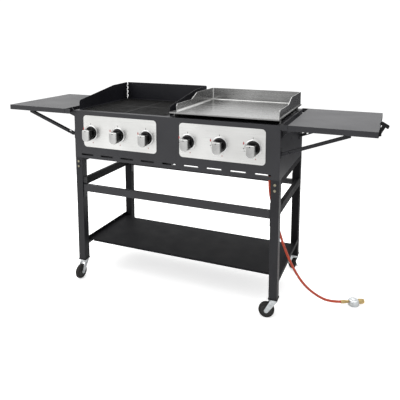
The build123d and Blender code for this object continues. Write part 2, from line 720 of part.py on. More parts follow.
# Casters: a plate with a king pin under each leg, a swivel fork with its axle, a wheel and a brake lever.
caster_plate = 3.0
caster_plate_size = 46.0
caster_plate_corner = 4.0
king_pin_radius = 6.0
head_gap = 0.6
head_radius = 20.0
head_height = 12.0
crown_thickness = 4.0
wheel_radius = 37.5
wheel_width = 24.0
wheel_gap = 2.0
wheel_edge = 5.0
hub_recess_radius = 24.0
hub_recess_depth = 3.0
hub_radius = 10.0
caster_trail = 32.0
fork_sheet = 3.0
axle_radius = 4.0
axle_boss = 10.0
axle_head_radius = 6.0
axle_head = 2.0
crown_length = 36.0
crown_corner = 3.0
cheek_root = 30.0
lever_sheet = 3.0
lever_gap = 0.4
lever_tab = 16.0
lever_end = (-28.0, -12.0)
lever_end_radius = 6.0
lever_tab_turn = 20.0
trail_angles = {"front_left": -90.0, "front_right": -170.0, "rear_left": 125.0, "rear_right": 127.0}
head_top = caster_height - caster_plate - head_gap
head_bottom = head_top - head_height
cheek_inner = wheel_width / 2 + wheel_gap
cheek_outer = cheek_inner + fork_sheet
lever_inner = cheek_outer + lever_gap
axle_end = lever_inner + lever_sheet + lever_gap
with BuildPart() as caster_plates:
    for x_side, y_side in corners.values():
        with BuildSketch(Plane((x_side * leg_x, y_side * leg_y, caster_height))):
            RectangleRounded(caster_plate_size, caster_plate_size, caster_plate_corner)
        extrude(amount=-caster_plate)
        with BuildSketch(Plane((x_side * leg_x, y_side * leg_y, caster_height))):
            Circle(king_pin_radius)
        extrude(amount=-(caster_plate + head_gap + head_height))
caster_plates.part.label = "caster_plates"
export_step(caster_plates.part, "parts/caster_plates.step")

for corner, (x_side, y_side) in corners.items():
    trail_x = cos(radians(trail_angles[corner]))
    trail_y = sin(radians(trail_angles[corner]))
    pivot = Plane((x_side * leg_x, y_side * leg_y, 0), x_dir=(trail_x, trail_y, 0), z_dir=(0, 0, 1))
    upright = Plane(pivot.origin, x_dir=(trail_x, trail_y, 0), z_dir=(trail_y, -trail_x, 0))
    axle_point = upright.from_local_coords((caster_trail, wheel_radius, 0))
    axle_plane = Plane(axle_point, upright.x_dir, upright.z_dir)

    with BuildPart() as fork:
        with BuildSketch(pivot.offset(head_bottom)):
            Circle(head_radius)
        extrude(amount=head_height)
        with BuildSketch(pivot.offset(head_bottom)):
            RectangleRounded(crown_length, 2 * cheek_outer, crown_corner)
        extrude(amount=crown_thickness)
        for side in (-1, 1):
            with BuildSketch(upright.offset(side * (cheek_inner + cheek_outer) / 2)):
                with Locations((caster_trail, wheel_radius)):
                    Circle(axle_boss)
                with Locations((0, head_bottom + crown_thickness / 2)):
                    Rectangle(cheek_root, crown_thickness)
                make_hull()
            extrude(amount=fork_sheet / 2, both=True)
        with BuildSketch(axle_plane):
            Circle(axle_radius)
        extrude(amount=axle_end, both=True)
        with BuildSketch(axle_plane.offset(axle_end)):
            Circle(axle_head_radius)
        extrude(amount=axle_head)
        with BuildSketch(pivot):
            Circle(king_pin_radius + running)
        extrude(amount=caster_height, mode=Mode.SUBTRACT)
    fork.part.label = f"{corner}_fork"
    export_step(fork.part, f"parts/{corner}_fork.step")

    with BuildPart() as wheel:
        with BuildSketch(axle_plane):
            Circle(wheel_radius)
        extrude(amount=wheel_width / 2, both=True)
        fillet(wheel.edges().filter_by(GeomType.CIRCLE), wheel_edge)
        for side in (-1, 1):
            with BuildSketch(axle_plane.offset(side * wheel_width / 2)):
                Circle(hub_recess_radius)
                Circle(hub_radius, mode=Mode.SUBTRACT)
            extrude(amount=-side * hub_recess_depth, mode=Mode.SUBTRACT)
        with BuildSketch(axle_plane):
            Circle(axle_radius + running)
        extrude(amount=wheel_width, both=True, mode=Mode.SUBTRACT)
    wheel.part.label = f"{corner}_wheel"
    export_step(wheel.part, f"parts/{corner}_wheel.step")

    with BuildPart() as brake:
        with BuildSketch(axle_plane.offset(lever_inner)):
            Circle(axle_boss)
            with Locations(lever_end):
                Circle(lever_end_radius)
            make_hull()
        extrude(amount=lever_sheet)
        with BuildSketch(axle_plane.offset(lever_inner)):
            with Locations(lever_end):
                Rectangle(2 * lever_end_radius, lever_sheet, rotation=lever_tab_turn)
        extrude(amount=lever_sheet + lever_tab)
        with BuildSketch(axle_plane):
            Circle(axle_radius + running)
        extrude(amount=2 * axle_end, mode=Mode.SUBTRACT)
    brake.part.label = f"{corner}_brake"
    export_step(brake.part, f"parts/{corner}_brake.step")

# Side shelves: pressed trays turned upside down, on two ears that hinge at the body side.
shelf_length = 370.0
shelf_depth = 505.0
shelf_gap = 37.0
shelf_rise = 9.0
shelf_lip = 25.0
shelf_overhang = 28.0
shelf_corner = 4.0
hinge_out = 13.0
hinge_drop = 32.0
hinge_pin_radius = 4.0
ear_radius = 9.0
ear_thickness = 4.0
ear_inset = 58.0
ear_reach = 60.0
ear_height = 19.0
strut_out = 14.0
strut_drop = 127.0
strut_length = 300.0
strut_depth = 14.0
strut_width = 16.0
strut_sheet = 1.5
strut_inset = 39.0
strut_rest_width = 24.0
strut_gap = 0.6
shelf_top = body_top + shelf_rise
shelf_inner_x = half_width + shelf_gap
shelf_outer_x = shelf_inner_x + shelf_length
shelf_front_y = front_y - shelf_overhang
shelf_mid_y = shelf_front_y + shelf_depth / 2
hinge_x = half_width + hinge_out
hinge_z = body_top - hinge_drop
strut_x = half_width + strut_out
strut_z = body_top - strut_drop
ear_ys = [shelf_front_y + ear_inset, shelf_front_y + shelf_depth - ear_inset]
strut_ys = [shelf_front_y + strut_inset, shelf_front_y + shelf_depth - strut_inset]

# The strut leans so that the top of its tip stops just below the rest block on the shelf.
rest_z = shelf_top - shelf_lip
strut_angle = 22.0
for repeat in range(12):
    tip_top = strut_length * sin(radians(strut_angle)) + strut_depth / 2 * cos(radians(strut_angle))
    strut_angle = strut_angle + degrees((rest_z - strut_gap - strut_z - tip_top) / strut_length)
strut_tip_x = strut_x + strut_length * cos(radians(strut_angle))
for side_name, x_side in (("left", -1), ("right", 1)):
    with BuildPart() as shelf:
        with BuildSketch(Plane((x_side * (shelf_inner_x + shelf_outer_x) / 2, shelf_mid_y, rest_z))):
            RectangleRounded(shelf_length, shelf_depth, shelf_corner)
        extrude(amount=shelf_lip)
        offset(amount=-sheet, openings=shelf.faces().sort_by(Axis.Z)[0])
        for ear_y in ear_ys:
            with BuildSketch(facing_front(0, ear_y, 0)):
                with Locations((x_side * hinge_x, hinge_z)):
                    Circle(ear_radius)
                with Locations((x_side * (shelf_inner_x + ear_reach / 2), shelf_top - sheet)):
                    Rectangle(ear_reach, ear_height, align=(Align.CENTER, Align.MAX))
                make_hull()
                with Locations((x_side * hinge_x, hinge_z)):
                    Circle(hinge_pin_radius + running, mode=Mode.SUBTRACT)
            extrude(amount=ear_thickness / 2, both=True)
        for strut_y in strut_ys:
            rest_x = strut_tip_x - strut_rest_width / 2
            with Locations((x_side * rest_x, strut_y, shelf_top - shelf_lip / 2)):
                Box(strut_rest_width, strut_width, shelf_lip)
    shelf.part.label = f"{side_name}_shelf"
    export_step(shelf.part, f"parts/{side_name}_shelf.step")

# Shelf brackets: forked plates with the hinge pins above, and tongues with the strut pins below.
bracket_base = 3.0
bracket_height = 44.0
bracket_drop = 6.0
bracket_margin = 8.0
bracket_cheek = 3.0
bracket_edge = 4.0
ear_side_gap = 0.5
tongue_thickness = 5.0
tongue_radius = 6.5
tongue_root = 20.0
strut_base_width = 20.0
pin_overhang = 1.5
fork_span = ear_thickness + 2 * ear_side_gap + 2 * bracket_cheek
bracket_z = hinge_z - bracket_drop
with BuildPart() as shelf_brackets:
    for ear_y in ear_ys:
        with Locations((half_width + bracket_base / 2, ear_y, bracket_z)):
            Box(bracket_base, fork_span + 2 * bracket_margin, bracket_height)
        for side in (-1, 1):
            cheek_y = ear_y + side * (ear_thickness / 2 + ear_side_gap + bracket_cheek / 2)
            with BuildSketch(facing_front(0, cheek_y, 0)):
                with Locations((hinge_x, hinge_z)):
                    Circle(ear_radius)
                with Locations((half_width + bracket_base / 2, bracket_z)):
                    Rectangle(bracket_base, bracket_height - 2 * bracket_edge)
                make_hull()
            extrude(amount=bracket_cheek / 2, both=True)
        with BuildSketch(facing_front(hinge_x, ear_y, hinge_z)):
            Circle(hinge_pin_radius)
        extrude(amount=fork_span / 2 + pin_overhang, both=True)
    for strut_y in strut_ys:
        with Locations((half_width + bracket_base / 2, strut_y, strut_z)):
            Box(bracket_base, strut_base_width, bracket_height)
        with BuildSketch(facing_front(0, strut_y, 0)):
            with Locations((strut_x, strut_z)):
                Circle(tongue_radius)
            with Locations((half_width + bracket_base / 2, strut_z)):
                Rectangle(bracket_base, tongue_root)
            make_hull()
        extrude(amount=tongue_thickness / 2, both=True)
        with BuildSketch(facing_front(strut_x, strut_y, strut_z)):
            Circle(hinge_pin_radius)
        extrude(amount=strut_width / 2 + pin_overhang, both=True)
    mirror(about=Plane.YZ)
shelf_brackets.part.label = "shelf_brackets"
export_step(shelf_brackets.part, "parts/shelf_brackets.step")

# Struts: folded channels, open above, that swing up under the shelf.
strut_hole_along = 30.0
strut_hole_length = 14.0
strut_hole_width = 7.0
strut_web_start = 15.0
for side_name, x_side in (("left", -1), ("right", 1)):
    with BuildPart() as struts:
        lean = (x_side * cos(radians(strut_angle)), 0, sin(radians(strut_angle)))
        for strut_y in strut_ys:
            along = Plane((x_side * strut_x, strut_y, strut_z), x_dir=lean, z_dir=(0, -x_side, 0))
            inner_width = strut_width - 2 * strut_sheet
            with BuildSketch(along):
                Circle(strut_depth / 2)
                Rectangle(strut_length, strut_depth, align=(Align.MIN, Align.CENTER))
            extrude(amount=strut_width / 2, both=True)
            with BuildSketch(along):
                with Locations((-strut_depth, strut_sheet)):
                    Rectangle(strut_length + 2 * strut_depth, strut_depth, align=(Align.MIN, Align.CENTER))
                with Locations((-strut_depth, 0)):
                    Rectangle(strut_depth + strut_web_start, 2 * strut_depth, align=(Align.MIN, Align.CENTER))
            extrude(amount=inner_width / 2, both=True, mode=Mode.SUBTRACT)
            with BuildSketch(along):
                Circle(hinge_pin_radius + running)
                with Locations((strut_hole_along, 0)):
                    SlotOverall(strut_hole_length, strut_hole_width)
            extrude(amount=strut_width, both=True, mode=Mode.SUBTRACT)
    struts.part.label = f"{side_name}_struts"
    export_step(struts.part, f"parts/{side_name}_struts.step")

# Utensil hook: a flat T of plate on the outer lip of the right shelf.
hook_inset = 40.0
hook_lean = 61.0
hook_stem = 42.0
hook_bar = 38.0
hook_strip = 15.0
hook_plate = 9.0
hook_foot_height = 20.0
hook_corner = 6.0
hook_y = shelf_front_y + hook_inset
with BuildPart() as utensil_hook:
    hook_dir = (cos(radians(hook_lean)), 0, sin(radians(hook_lean)))
    hook_plane = Plane((shelf_outer_x, hook_y, shelf_top - shelf_lip / 2), x_dir=hook_dir, z_dir=(0, -1, 0))
    with BuildSketch(hook_plane) as hook_outline:
        Rectangle(2 * hook_stem, hook_strip)
        with Locations((hook_stem, 0)):
            Rectangle(hook_strip, hook_bar)
        fillet(hook_outline.vertices().sort_by(Axis.X)[-2:], hook_corner)
    extrude(amount=hook_plate / 2, both=True)
    with Locations((shelf_outer_x + hook_plate / 2, hook_y, shelf_top - shelf_lip / 2)):
        Box(hook_plate, hook_strip, hook_foot_height)
    split(bisect_by=Plane((shelf_outer_x, 0, 0), z_dir=(1, 0, 0)), keep=Keep.TOP)
utensil_hook.part.label = "utensil_hook"
export_step(utensil_hook.part, "parts/utensil_hook.step")

# Gas hose: straight runs and tangent arcs from the inlet, under the right side rail, to the floor.
hose_radius = 6.0
hose_points = [
    (inlet_x, valve_y, inlet_z),
    (inlet_x, valve_y, inlet_z - 52),
    (496, -212, 590),
    (502, -186, 525),
    (515, -168, 455),
    (532, -152, 380),
    (553, -138, 305),
    (580, -124, 232),
    (612, -110, 163),
    (652, -92, 102),
    (702, -68, 54),
    (764, -40, 18),
    (826, -12, 18),
]
hose_vectors = [Vector(*point) for point in hose_points]
hose_bends = []
for before, corner_point, after in zip(hose_vectors, hose_vectors[1:], hose_vectors[2:]):
    turn = (corner_point - before).get_angle(after - corner_point)
    shorter = min((corner_point - before).length, (after - corner_point).length)
    hose_bends.append(0.45 * shorter / tan(radians(turn / 2)))
print("hose radii", [round(bend) for bend in hose_bends])
with BuildPart() as gas_hose:
    with BuildLine():
        hose_line = FilletPolyline(*hose_points, radius=hose_bends)
    with BuildSketch(Plane(hose_vectors[0], z_dir=hose_vectors[1] - hose_vectors[0])):
        Circle(hose_radius)
    sweep(path=hose_line)
hose_length = hose_line.length
hose_volume = pi * hose_radius**2 * hose_length
print("hose length", round(hose_length), "volume ratio", gas_hose.part.volume / hose_volume)
gas_hose.part.label = "gas_hose"
export_step(gas_hose.part, "parts/gas_hose.step")

# Regulator: a round housing with the hose tail on one side and the inlet nut on the other.
tail_length = 22.0
housing_radius = 28.0
housing_height = 32.0
housing_edge = 5.0
nut_radius = 13.0
nut_length = 28.0
floor_gap = 0.5
joint_depth = 4.0
hose_end = hose_vectors[-1]
hose_run = hose_end - hose_vectors[-2]
regulator_line = Plane(hose_end, z_dir=hose_run)
housing_centre = hose_end + hose_run.normalized() * (tail_length + housing_radius)
with BuildPart() as regulator:
    with BuildSketch(Plane((housing_centre.X, housing_centre.Y, floor_gap))):
        Circle(housing_radius)
    extrude(amount=housing_height)
    fillet(regulator.faces().sort_by(Axis.Z)[-1].edges(), housing_edge)
    with BuildSketch(regulator_line):
        Circle(hose_radius)
    extrude(amount=tail_length + joint_depth)
    with BuildSketch(regulator_line.offset(tail_length + 2 * housing_radius - joint_depth)):
        RegularPolygon(nut_radius, 6)
    extrude(amount=nut_length)
regulator.part.label = "regulator"
export_step(regulator.part, "parts/regulator.step")

print("strut angle", strut_angle, "strut tip x", strut_tip_x, "strut pivot", strut_x, strut_z)
print("hinge", hinge_x, hinge_z, "ears", ear_ys, "struts", strut_ys, "rest", rest_z)
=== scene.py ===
import json
import math

import bmesh
import bpy
from mathutils import Matrix, Vector


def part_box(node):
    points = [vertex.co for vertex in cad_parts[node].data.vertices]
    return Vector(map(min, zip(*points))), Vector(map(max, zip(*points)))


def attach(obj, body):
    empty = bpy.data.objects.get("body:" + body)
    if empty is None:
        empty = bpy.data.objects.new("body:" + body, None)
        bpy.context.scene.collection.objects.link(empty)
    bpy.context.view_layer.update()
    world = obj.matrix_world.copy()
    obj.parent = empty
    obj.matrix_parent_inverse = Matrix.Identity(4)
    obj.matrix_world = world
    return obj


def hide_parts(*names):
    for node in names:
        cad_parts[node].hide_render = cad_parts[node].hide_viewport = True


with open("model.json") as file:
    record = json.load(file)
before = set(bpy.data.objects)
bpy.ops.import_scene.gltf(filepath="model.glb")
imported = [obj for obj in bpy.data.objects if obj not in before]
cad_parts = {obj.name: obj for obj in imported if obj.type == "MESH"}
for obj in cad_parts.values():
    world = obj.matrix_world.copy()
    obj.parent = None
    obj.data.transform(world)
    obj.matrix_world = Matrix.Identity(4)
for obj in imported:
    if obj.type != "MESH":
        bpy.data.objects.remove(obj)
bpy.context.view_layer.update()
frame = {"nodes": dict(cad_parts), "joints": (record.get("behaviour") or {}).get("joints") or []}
scene = bpy.context.scene

# Studio: the camera stands to the right of the cart at about eye height, as for a catalogue picture.
# A wide pale floor and large soft lamps stand in for a white cove.
camera_place = Vector((1.0101, -2.2514, 1.3171))
camera_ahead = Vector((-0.36288, 0.92276, -0.12978)).normalized()
camera_right = Vector((0.93042, 0.36647, 0.00416)).normalized()
camera_up = camera_right.cross(camera_ahead).normalized()
camera_data = bpy.data.cameras.new("camera")
camera_data.lens = 42.20
camera_data.sensor_width = 36.0
camera_data.shift_x = -0.0308
camera_data.shift_y = -0.2612
camera_data.clip_end = 200.0
camera = bpy.data.objects.new("camera", camera_data)
camera.matrix_world = Matrix((
    (camera_right.x, camera_up.x, -camera_ahead.x, camera_place.x),
    (camera_right.y, camera_up.y, -camera_ahead.y, camera_place.y),
    (camera_right.z, camera_up.z, -camera_ahead.z, camera_place.z),
    (0.0, 0.0, 0.0, 1.0),
))
scene.collection.objects.link(camera)
scene.camera = camera
scene.view_settings.view_transform = "Standard"


def add_node(tree, kind, **values):
    """A new node with its properties set."""
    node = tree.nodes.new(kind)
    for key, value in values.items():
        setattr(node, key, value)
    return node


def spread(tree, start, end, low=0.0, high=1.0):
    """A node that turns values between start and end into values between low and high."""
    node = add_node(tree, "ShaderNodeMapRange")
    for label, value in (("From Min", start), ("From Max", end), ("To Min", low), ("To Max", high)):
        node.inputs[label].default_value = value
    return node


def link_nodes(tree, *pairs):
    """Links each output to its input."""
    for source, target in pairs:
        tree.links.new(source, target)


world = bpy.data.worlds.new("studio")
world.use_nodes = True
sky = world.node_tree
sky_place = add_node(sky, "ShaderNodeTexCoord")
sky_axes = add_node(sky, "ShaderNodeSeparateXYZ")
wall_rise = spread(sky, -0.06, 0.10)
wall_fall = spread(sky, 0.0, 0.8, 0.95, 0.6)
wall_level = add_node(sky, "ShaderNodeMath", operation="MULTIPLY")
front_rise = spread(sky, 0.1, -0.5)
front_fall = spread(sky, -0.65, -0.15, 1.0, 0.5)
front_level = add_node(sky, "ShaderNodeMath", operation="MULTIPLY")
sky_level = add_node(sky, "ShaderNodeMath", operation="MAXIMUM")
sky_ramp = add_node(sky, "ShaderNodeValToRGB")
sky_ramp.color_ramp.elements[0].color = (0.10, 0.10, 0.105, 1.0)
sky_ramp.color_ramp.elements[1].color = (1.15, 1.15, 1.15, 1.0)
sky_seen = add_node(sky, "ShaderNodeLightPath")
sky_mix = add_node(sky, "ShaderNodeMix", data_type="RGBA")
sky_mix.inputs["B"].default_value = (1.1, 1.1, 1.1, 1.0)
link_nodes(
    sky,
    (sky_place.outputs["Generated"], sky_axes.inputs["Vector"]),
    (sky_axes.outputs["Z"], wall_rise.inputs["Value"]),
    (sky_axes.outputs["Y"], front_rise.inputs["Value"]),
    (sky_axes.outputs["X"], wall_fall.inputs["Value"]),
    (sky_axes.outputs["X"], front_fall.inputs["Value"]),
    (wall_rise.outputs["Result"], wall_level.inputs[0]),
    (wall_fall.outputs["Result"], wall_level.inputs[1]),
    (front_rise.outputs["Result"], front_level.inputs[0]),
    (front_fall.outputs["Result"], front_level.inputs[1]),
    (wall_level.outputs["Value"], sky_level.inputs[0]),
    (front_level.outputs["Value"], sky_level.inputs[1]),
    (sky_level.outputs["Value"], sky_ramp.inputs["Fac"]),
    (sky_ramp.outputs["Color"], sky_mix.inputs["A"]),
    (sky_seen.outputs["Is Camera Ray"], sky_mix.inputs["Factor"]),
    (sky_mix.outputs["Result"], sky.nodes["Background"].inputs["Color"]),
)
scene.world = world

floor_reach = 2.6
fade_start = 1.6
floor_shape = bmesh.new()
bmesh.ops.create_circle(floor_shape, cap_ends=True, segments=96, radius=floor_reach)
floor_mesh = bpy.data.meshes.new("floor")
floor_shape.to_mesh(floor_mesh)
floor_shape.free()
floor = bpy.data.objects.new("floor", floor_mesh)
floor_paint = bpy.data.materials.new("floor_paint")
floor_paint.use_nodes = True
floor_tree = floor_paint.node_tree
floor_shader = floor_tree.nodes["Principled BSDF"]
floor_shader.inputs["Base Color"].default_value = (0.90, 0.90, 0.90, 1.0)
floor_shader.inputs["Roughness"].default_value = 0.9
floor_shader.inputs["Emission Color"].default_value = (1.0, 1.0, 1.0, 1.0)
floor_place = add_node(floor_tree, "ShaderNodeTexCoord")
floor_far = add_node(floor_tree, "ShaderNodeVectorMath", operation="LENGTH")
floor_fade = spread(floor_tree, fade_start, floor_reach)
floor_seen = add_node(floor_tree, "ShaderNodeLightPath")
floor_lift = add_node(floor_tree, "ShaderNodeMath", operation="MULTIPLY")
floor_lift.inputs[1].default_value = 0.5
floor_clear = add_node(floor_tree, "ShaderNodeBsdfTransparent")
floor_mix = add_node(floor_tree, "ShaderNodeMixShader")
link_nodes(
    floor_tree,
    (floor_seen.outputs["Is Camera Ray"], floor_lift.inputs[0]),
    (floor_lift.outputs["Value"], floor_shader.inputs["Emission Strength"]),
    (floor_place.outputs["Object"], floor_far.inputs[0]),
    (floor_far.outputs["Value"], floor_fade.inputs["Value"]),
    (floor_fade.outputs["Result"], floor_mix.inputs["Fac"]),
    (floor_shader.outputs["BSDF"], floor_mix.inputs[1]),
    (floor_clear.outputs["BSDF"], floor_mix.inputs[2]),
    (floor_mix.outputs["Shader"], floor_tree.nodes["Material Output"].inputs["Surface"]),
)
floor_mesh.materials.append(floor_paint)
scene.collection.objects.link(floor)


def soft_lamp(name, place, aim, width, height, power):
    """A large rectangular lamp that looks at a point."""
    data = bpy.data.lights.new(name, "AREA")
    data.shape = "RECTANGLE"
    data.size = width
    data.size_y = height
    data.energy = power
    lamp = bpy.data.objects.new(name, data)
    lamp.location = place
    lamp.rotation_euler = (Vector(aim) - Vector(place)).to_track_quat("-Z", "Y").to_euler()
    scene.collection.objects.link(lamp)


soft_lamp("top_lamp", (-0.6, 0.8, 4.2), (-0.3, 0.5, 0.0), 6.0, 5.0, 160.0)
soft_lamp("front_lamp", (-2.4, -3.4, 2.3), (-0.2, 0.0, 0.7), 3.2, 2.0, 30.0)

# Legs and rails: welded square and box tube in black powder coat with a fine orange-peel grain. Rear legs
# and side rails get a darker, duller copy as painted shade, long rails a paler, glossier copy as painted
# light.
# The rails tie the legs together.
def effect_group(name, inputs, outputs):
    """An empty shader node group with named sockets, its input node and its output node."""
    tree = bpy.data.node_groups.new(name, "ShaderNodeTree")
    for label, kind, value in inputs:
        tree.interface.new_socket(label, in_out="INPUT", socket_type=kind).default_value = value
    for label, kind in outputs:
        tree.interface.new_socket(label, in_out="OUTPUT", socket_type=kind)
    return tree, add_node(tree, "NodeGroupInput"), add_node(tree, "NodeGroupOutput")


surface_outputs = [
    ("Colour", "NodeSocketColor"), ("Roughness", "NodeSocketFloat"), ("Height", "NodeSocketFloat"),
]
coat_grain, grain_in, grain_out = effect_group("coat_grain", [
    ("Grain", "NodeSocketFloat", 700.0),
    ("Patches", "NodeSocketFloat", 7.0),
    ("Deep", "NodeSocketColor", (0.01, 0.01, 0.01, 1.0)),
    ("Pale", "NodeSocketColor", (0.02, 0.02, 0.02, 1.0)),
    ("Smooth", "NodeSocketFloat", 0.4),
    ("Rough", "NodeSocketFloat", 0.5),
], surface_outputs)
grain_place = add_node(coat_grain, "ShaderNodeTexCoord")
grain_fine = add_node(coat_grain, "ShaderNodeTexNoise")
grain_fine.inputs["Detail"].default_value = 3.0
grain_broad = add_node(coat_grain, "ShaderNodeTexNoise")
grain_broad.inputs["Detail"].default_value = 5.0
grain_blend = add_node(coat_grain, "ShaderNodeMath", operation="MULTIPLY_ADD")
grain_blend.inputs[1].default_value = 0.35
grain_tone = spread(coat_grain, 0.45, 0.9)
grain_colour = add_node(coat_grain, "ShaderNodeMix", data_type="RGBA")
grain_rough = spread(coat_grain, 0.3, 0.7)
link_nodes(
    coat_grain,
    (grain_place.outputs["Object"], grain_fine.inputs["Vector"]),
    (grain_place.outputs["Object"], grain_broad.inputs["Vector"]),
    (grain_in.outputs["Grain"], grain_fine.inputs["Scale"]),
    (grain_in.outputs["Patches"], grain_broad.inputs["Scale"]),
    (grain_fine.outputs["Fac"], grain_blend.inputs[0]),
    (grain_broad.outputs["Fac"], grain_blend.inputs[2]),
    (grain_blend.outputs["Value"], grain_tone.inputs["Value"]),
    (grain_tone.outputs["Result"], grain_colour.inputs["Factor"]),
    (grain_in.outputs["Deep"], grain_colour.inputs["A"]),
    (grain_in.outputs["Pale"], grain_colour.inputs["B"]),
    (grain_broad.outputs["Fac"], grain_rough.inputs["Value"]),
    (grain_in.outputs["Smooth"], grain_rough.inputs["To Min"]),
    (grain_in.outputs["Rough"], grain_rough.inputs["To Max"]),
    (grain_colour.outputs["Result"], grain_out.inputs["Colour"]),
    (grain_rough.outputs["Result"], grain_out.inputs["Roughness"]),
    (grain_fine.outputs["Fac"], grain_out.inputs["Height"]),
)
relief_depth = 0.0006


def surface_material(name, group, values, bump, metallic=0.0, gloss=0.5):
    """A material whose colour, roughness and relief come from one surface group."""
    material = bpy.data.materials.new(name)
    material.use_nodes = True
    tree = material.node_tree
    shader = tree.nodes["Principled BSDF"]
    shader.inputs["Metallic"].default_value = metallic
    shader.inputs["Specular IOR Level"].default_value = gloss
    surface = add_node(tree, "ShaderNodeGroup", node_tree=group)
    for label, value in values.items():
        surface.inputs[label].default_value = value
    relief = add_node(tree, "ShaderNodeBump")
    relief.inputs["Strength"].default_value = bump
    relief.inputs["Distance"].default_value = relief_depth
    link_nodes(
        tree,
        (surface.outputs["Colour"], shader.inputs["Base Color"]),
        (surface.outputs["Roughness"], shader.inputs["Roughness"]),
        (surface.outputs["Height"], relief.inputs["Height"]),
        (relief.outputs["Normal"], shader.inputs["Normal"]),
    )
    return material


def dress(material, *names):
    """Gives CAD nodes a material."""
    for name in names:
        mesh = frame["nodes"][name].data
        mesh.materials.clear()
        mesh.materials.append(material)


black_coat = surface_material("black_coat", coat_grain, {
    "Grain": 650.0, "Patches": 6.0, "Smooth": 0.38, "Rough": 0.52,
    "Deep": (0.0085, 0.0085, 0.0105, 1.0), "Pale": (0.0155, 0.0155, 0.0185, 1.0),
}, bump=0.12, gloss=0.3)
dress(black_coat, "front_left_leg", "front_right_leg")
# Darker, duller copy of the coat: painted shade on the rear legs and side rails.
matt_shaded_coat = surface_material("matt_shaded_coat", coat_grain, {
    "Grain": 650.0, "Patches": 6.0, "Smooth": 0.5, "Rough": 0.64,
    "Deep": (0.006, 0.006, 0.007, 1.0), "Pale": (0.011, 0.011, 0.0125, 1.0),
}, bump=0.12, gloss=0.1)
dress(matt_shaded_coat, "rear_left_leg", "rear_right_leg", "side_rails")
# Paler, glossier copy of the coat: painted light on the long cross rails.
satin_lit_coat = surface_material("satin_lit_coat", coat_grain, {
    "Grain": 650.0, "Patches": 6.0, "Smooth": 0.36, "Rough": 0.48,
    "Deep": (0.0145, 0.0145, 0.017, 1.0), "Pale": (0.023, 0.023, 0.027, 1.0),
}, bump=0.12, gloss=0.4)
dress(satin_lit_coat, "cross_rails")

# Bottom shelf: one folded sheet in the same coat, a little scuffed by what stands on it.
# It lies on the lower angles, with its front and rear lips turned down and fixing slots at both ends.
shelf_coat = surface_material("shelf_coat", coat_grain, {
    "Grain": 500.0, "Patches": 11.0, "Smooth": 0.5, "Rough": 0.66,
    "Deep": (0.007, 0.007, 0.008, 1.0), "Pale": (0.014, 0.014, 0.016, 1.0),
}, bump=0.12, gloss=0.08)
dress(shelf_coat, "bottom_shelf")

# Frame bolts: steel bolts with hexagon heads, zinc plated and passivated yellow.
# Two go through the outer wall of each leg, near its top.
yellow_zinc = surface_material("yellow_zinc", coat_grain, {
    "Grain": 900.0, "Patches": 160.0, "Smooth": 0.28, "Rough": 0.45,
    "Deep": (0.22, 0.20, 0.14, 1.0), "Pale": (0.42, 0.39, 0.29, 1.0),
}, bump=0.08, metallic=1.0)
dress(yellow_zinc, "frame_bolts")

# Body panels: folded steel sheet in black powder coat, with the air slots punched along the front.
# The divider closes the grill half off from the griddle half.
panel_coat = surface_material("panel_coat", coat_grain, {
    "Grain": 650.0, "Patches": 4.0, "Smooth": 0.36, "Rough": 0.48,
    "Deep": (0.0135, 0.0135, 0.0165, 1.0), "Pale": (0.021, 0.021, 0.025, 1.0),
}, bump=0.1, gloss=0.47)
dress(panel_coat, "front_panel", "left_side_panel", "right_side_panel", "rear_panel", "divider")

# Control panels: two thin stainless sheets with round corners, brushed sideways, with dark and bright drawn
# lines. They are screwed to the front panel from behind.
brushed_lines, lines_in, lines_out = effect_group("brushed_lines", [
    ("Stretch", "NodeSocketVector", (5.0, 420.0, 420.0)),
    ("Dull", "NodeSocketColor", (0.45, 0.45, 0.44, 1.0)),
    ("Bright", "NodeSocketColor", (0.66, 0.66, 0.65, 1.0)),
    ("Smooth", "NodeSocketFloat", 0.22),
    ("Rough", "NodeSocketFloat", 0.36),
], surface_outputs)
lines_place = add_node(brushed_lines, "ShaderNodeTexCoord")
lines_scale = add_node(brushed_lines, "ShaderNodeVectorMath", operation="MULTIPLY")
lines_noise = add_node(brushed_lines, "ShaderNodeTexNoise")
lines_noise.inputs["Scale"].default_value = 1.0
lines_noise.inputs["Detail"].default_value = 4.0
lines_cloud = add_node(brushed_lines, "ShaderNodeTexNoise")
lines_cloud.inputs["Scale"].default_value = 5.0
lines_cloud.inputs["Detail"].default_value = 3.0
lines_sum = add_node(brushed_lines, "ShaderNodeMath", operation="MULTIPLY_ADD")
lines_sum.inputs[1].default_value = 0.5
lines_tone = spread(brushed_lines, 0.5, 1.0)
lines_colour = add_node(brushed_lines, "ShaderNodeMix", data_type="RGBA")
lines_rough = spread(brushed_lines, 0.3, 0.7)
link_nodes(
    brushed_lines,
    (lines_place.outputs["Object"], lines_scale.inputs[0]),
    (lines_in.outputs["Stretch"], lines_scale.inputs[1]),
    (lines_scale.outputs["Vector"], lines_noise.inputs["Vector"]),
    (lines_place.outputs["Object"], lines_cloud.inputs["Vector"]),
    (lines_noise.outputs["Fac"], lines_sum.inputs[0]),
    (lines_cloud.outputs["Fac"], lines_sum.inputs[2]),
    (lines_sum.outputs["Value"], lines_tone.inputs["Value"]),
    (lines_tone.outputs["Result"], lines_colour.inputs["Factor"]),
    (lines_in.outputs["Dull"], lines_colour.inputs["A"]),
    (lines_in.outputs["Bright"], lines_colour.inputs["B"]),
    (lines_noise.outputs["Fac"], lines_rough.inputs["Value"]),
    (lines_in.outputs["Smooth"], lines_rough.inputs["To Min"]),
    (lines_in.outputs["Rough"], lines_rough.inputs["To Max"]),
    (lines_colour.outputs["Result"], lines_out.inputs["Colour"]),
    (lines_rough.outputs["Result"], lines_out.inputs["Roughness"]),
    (lines_noise.outputs["Fac"], lines_out.inputs["Height"]),
)
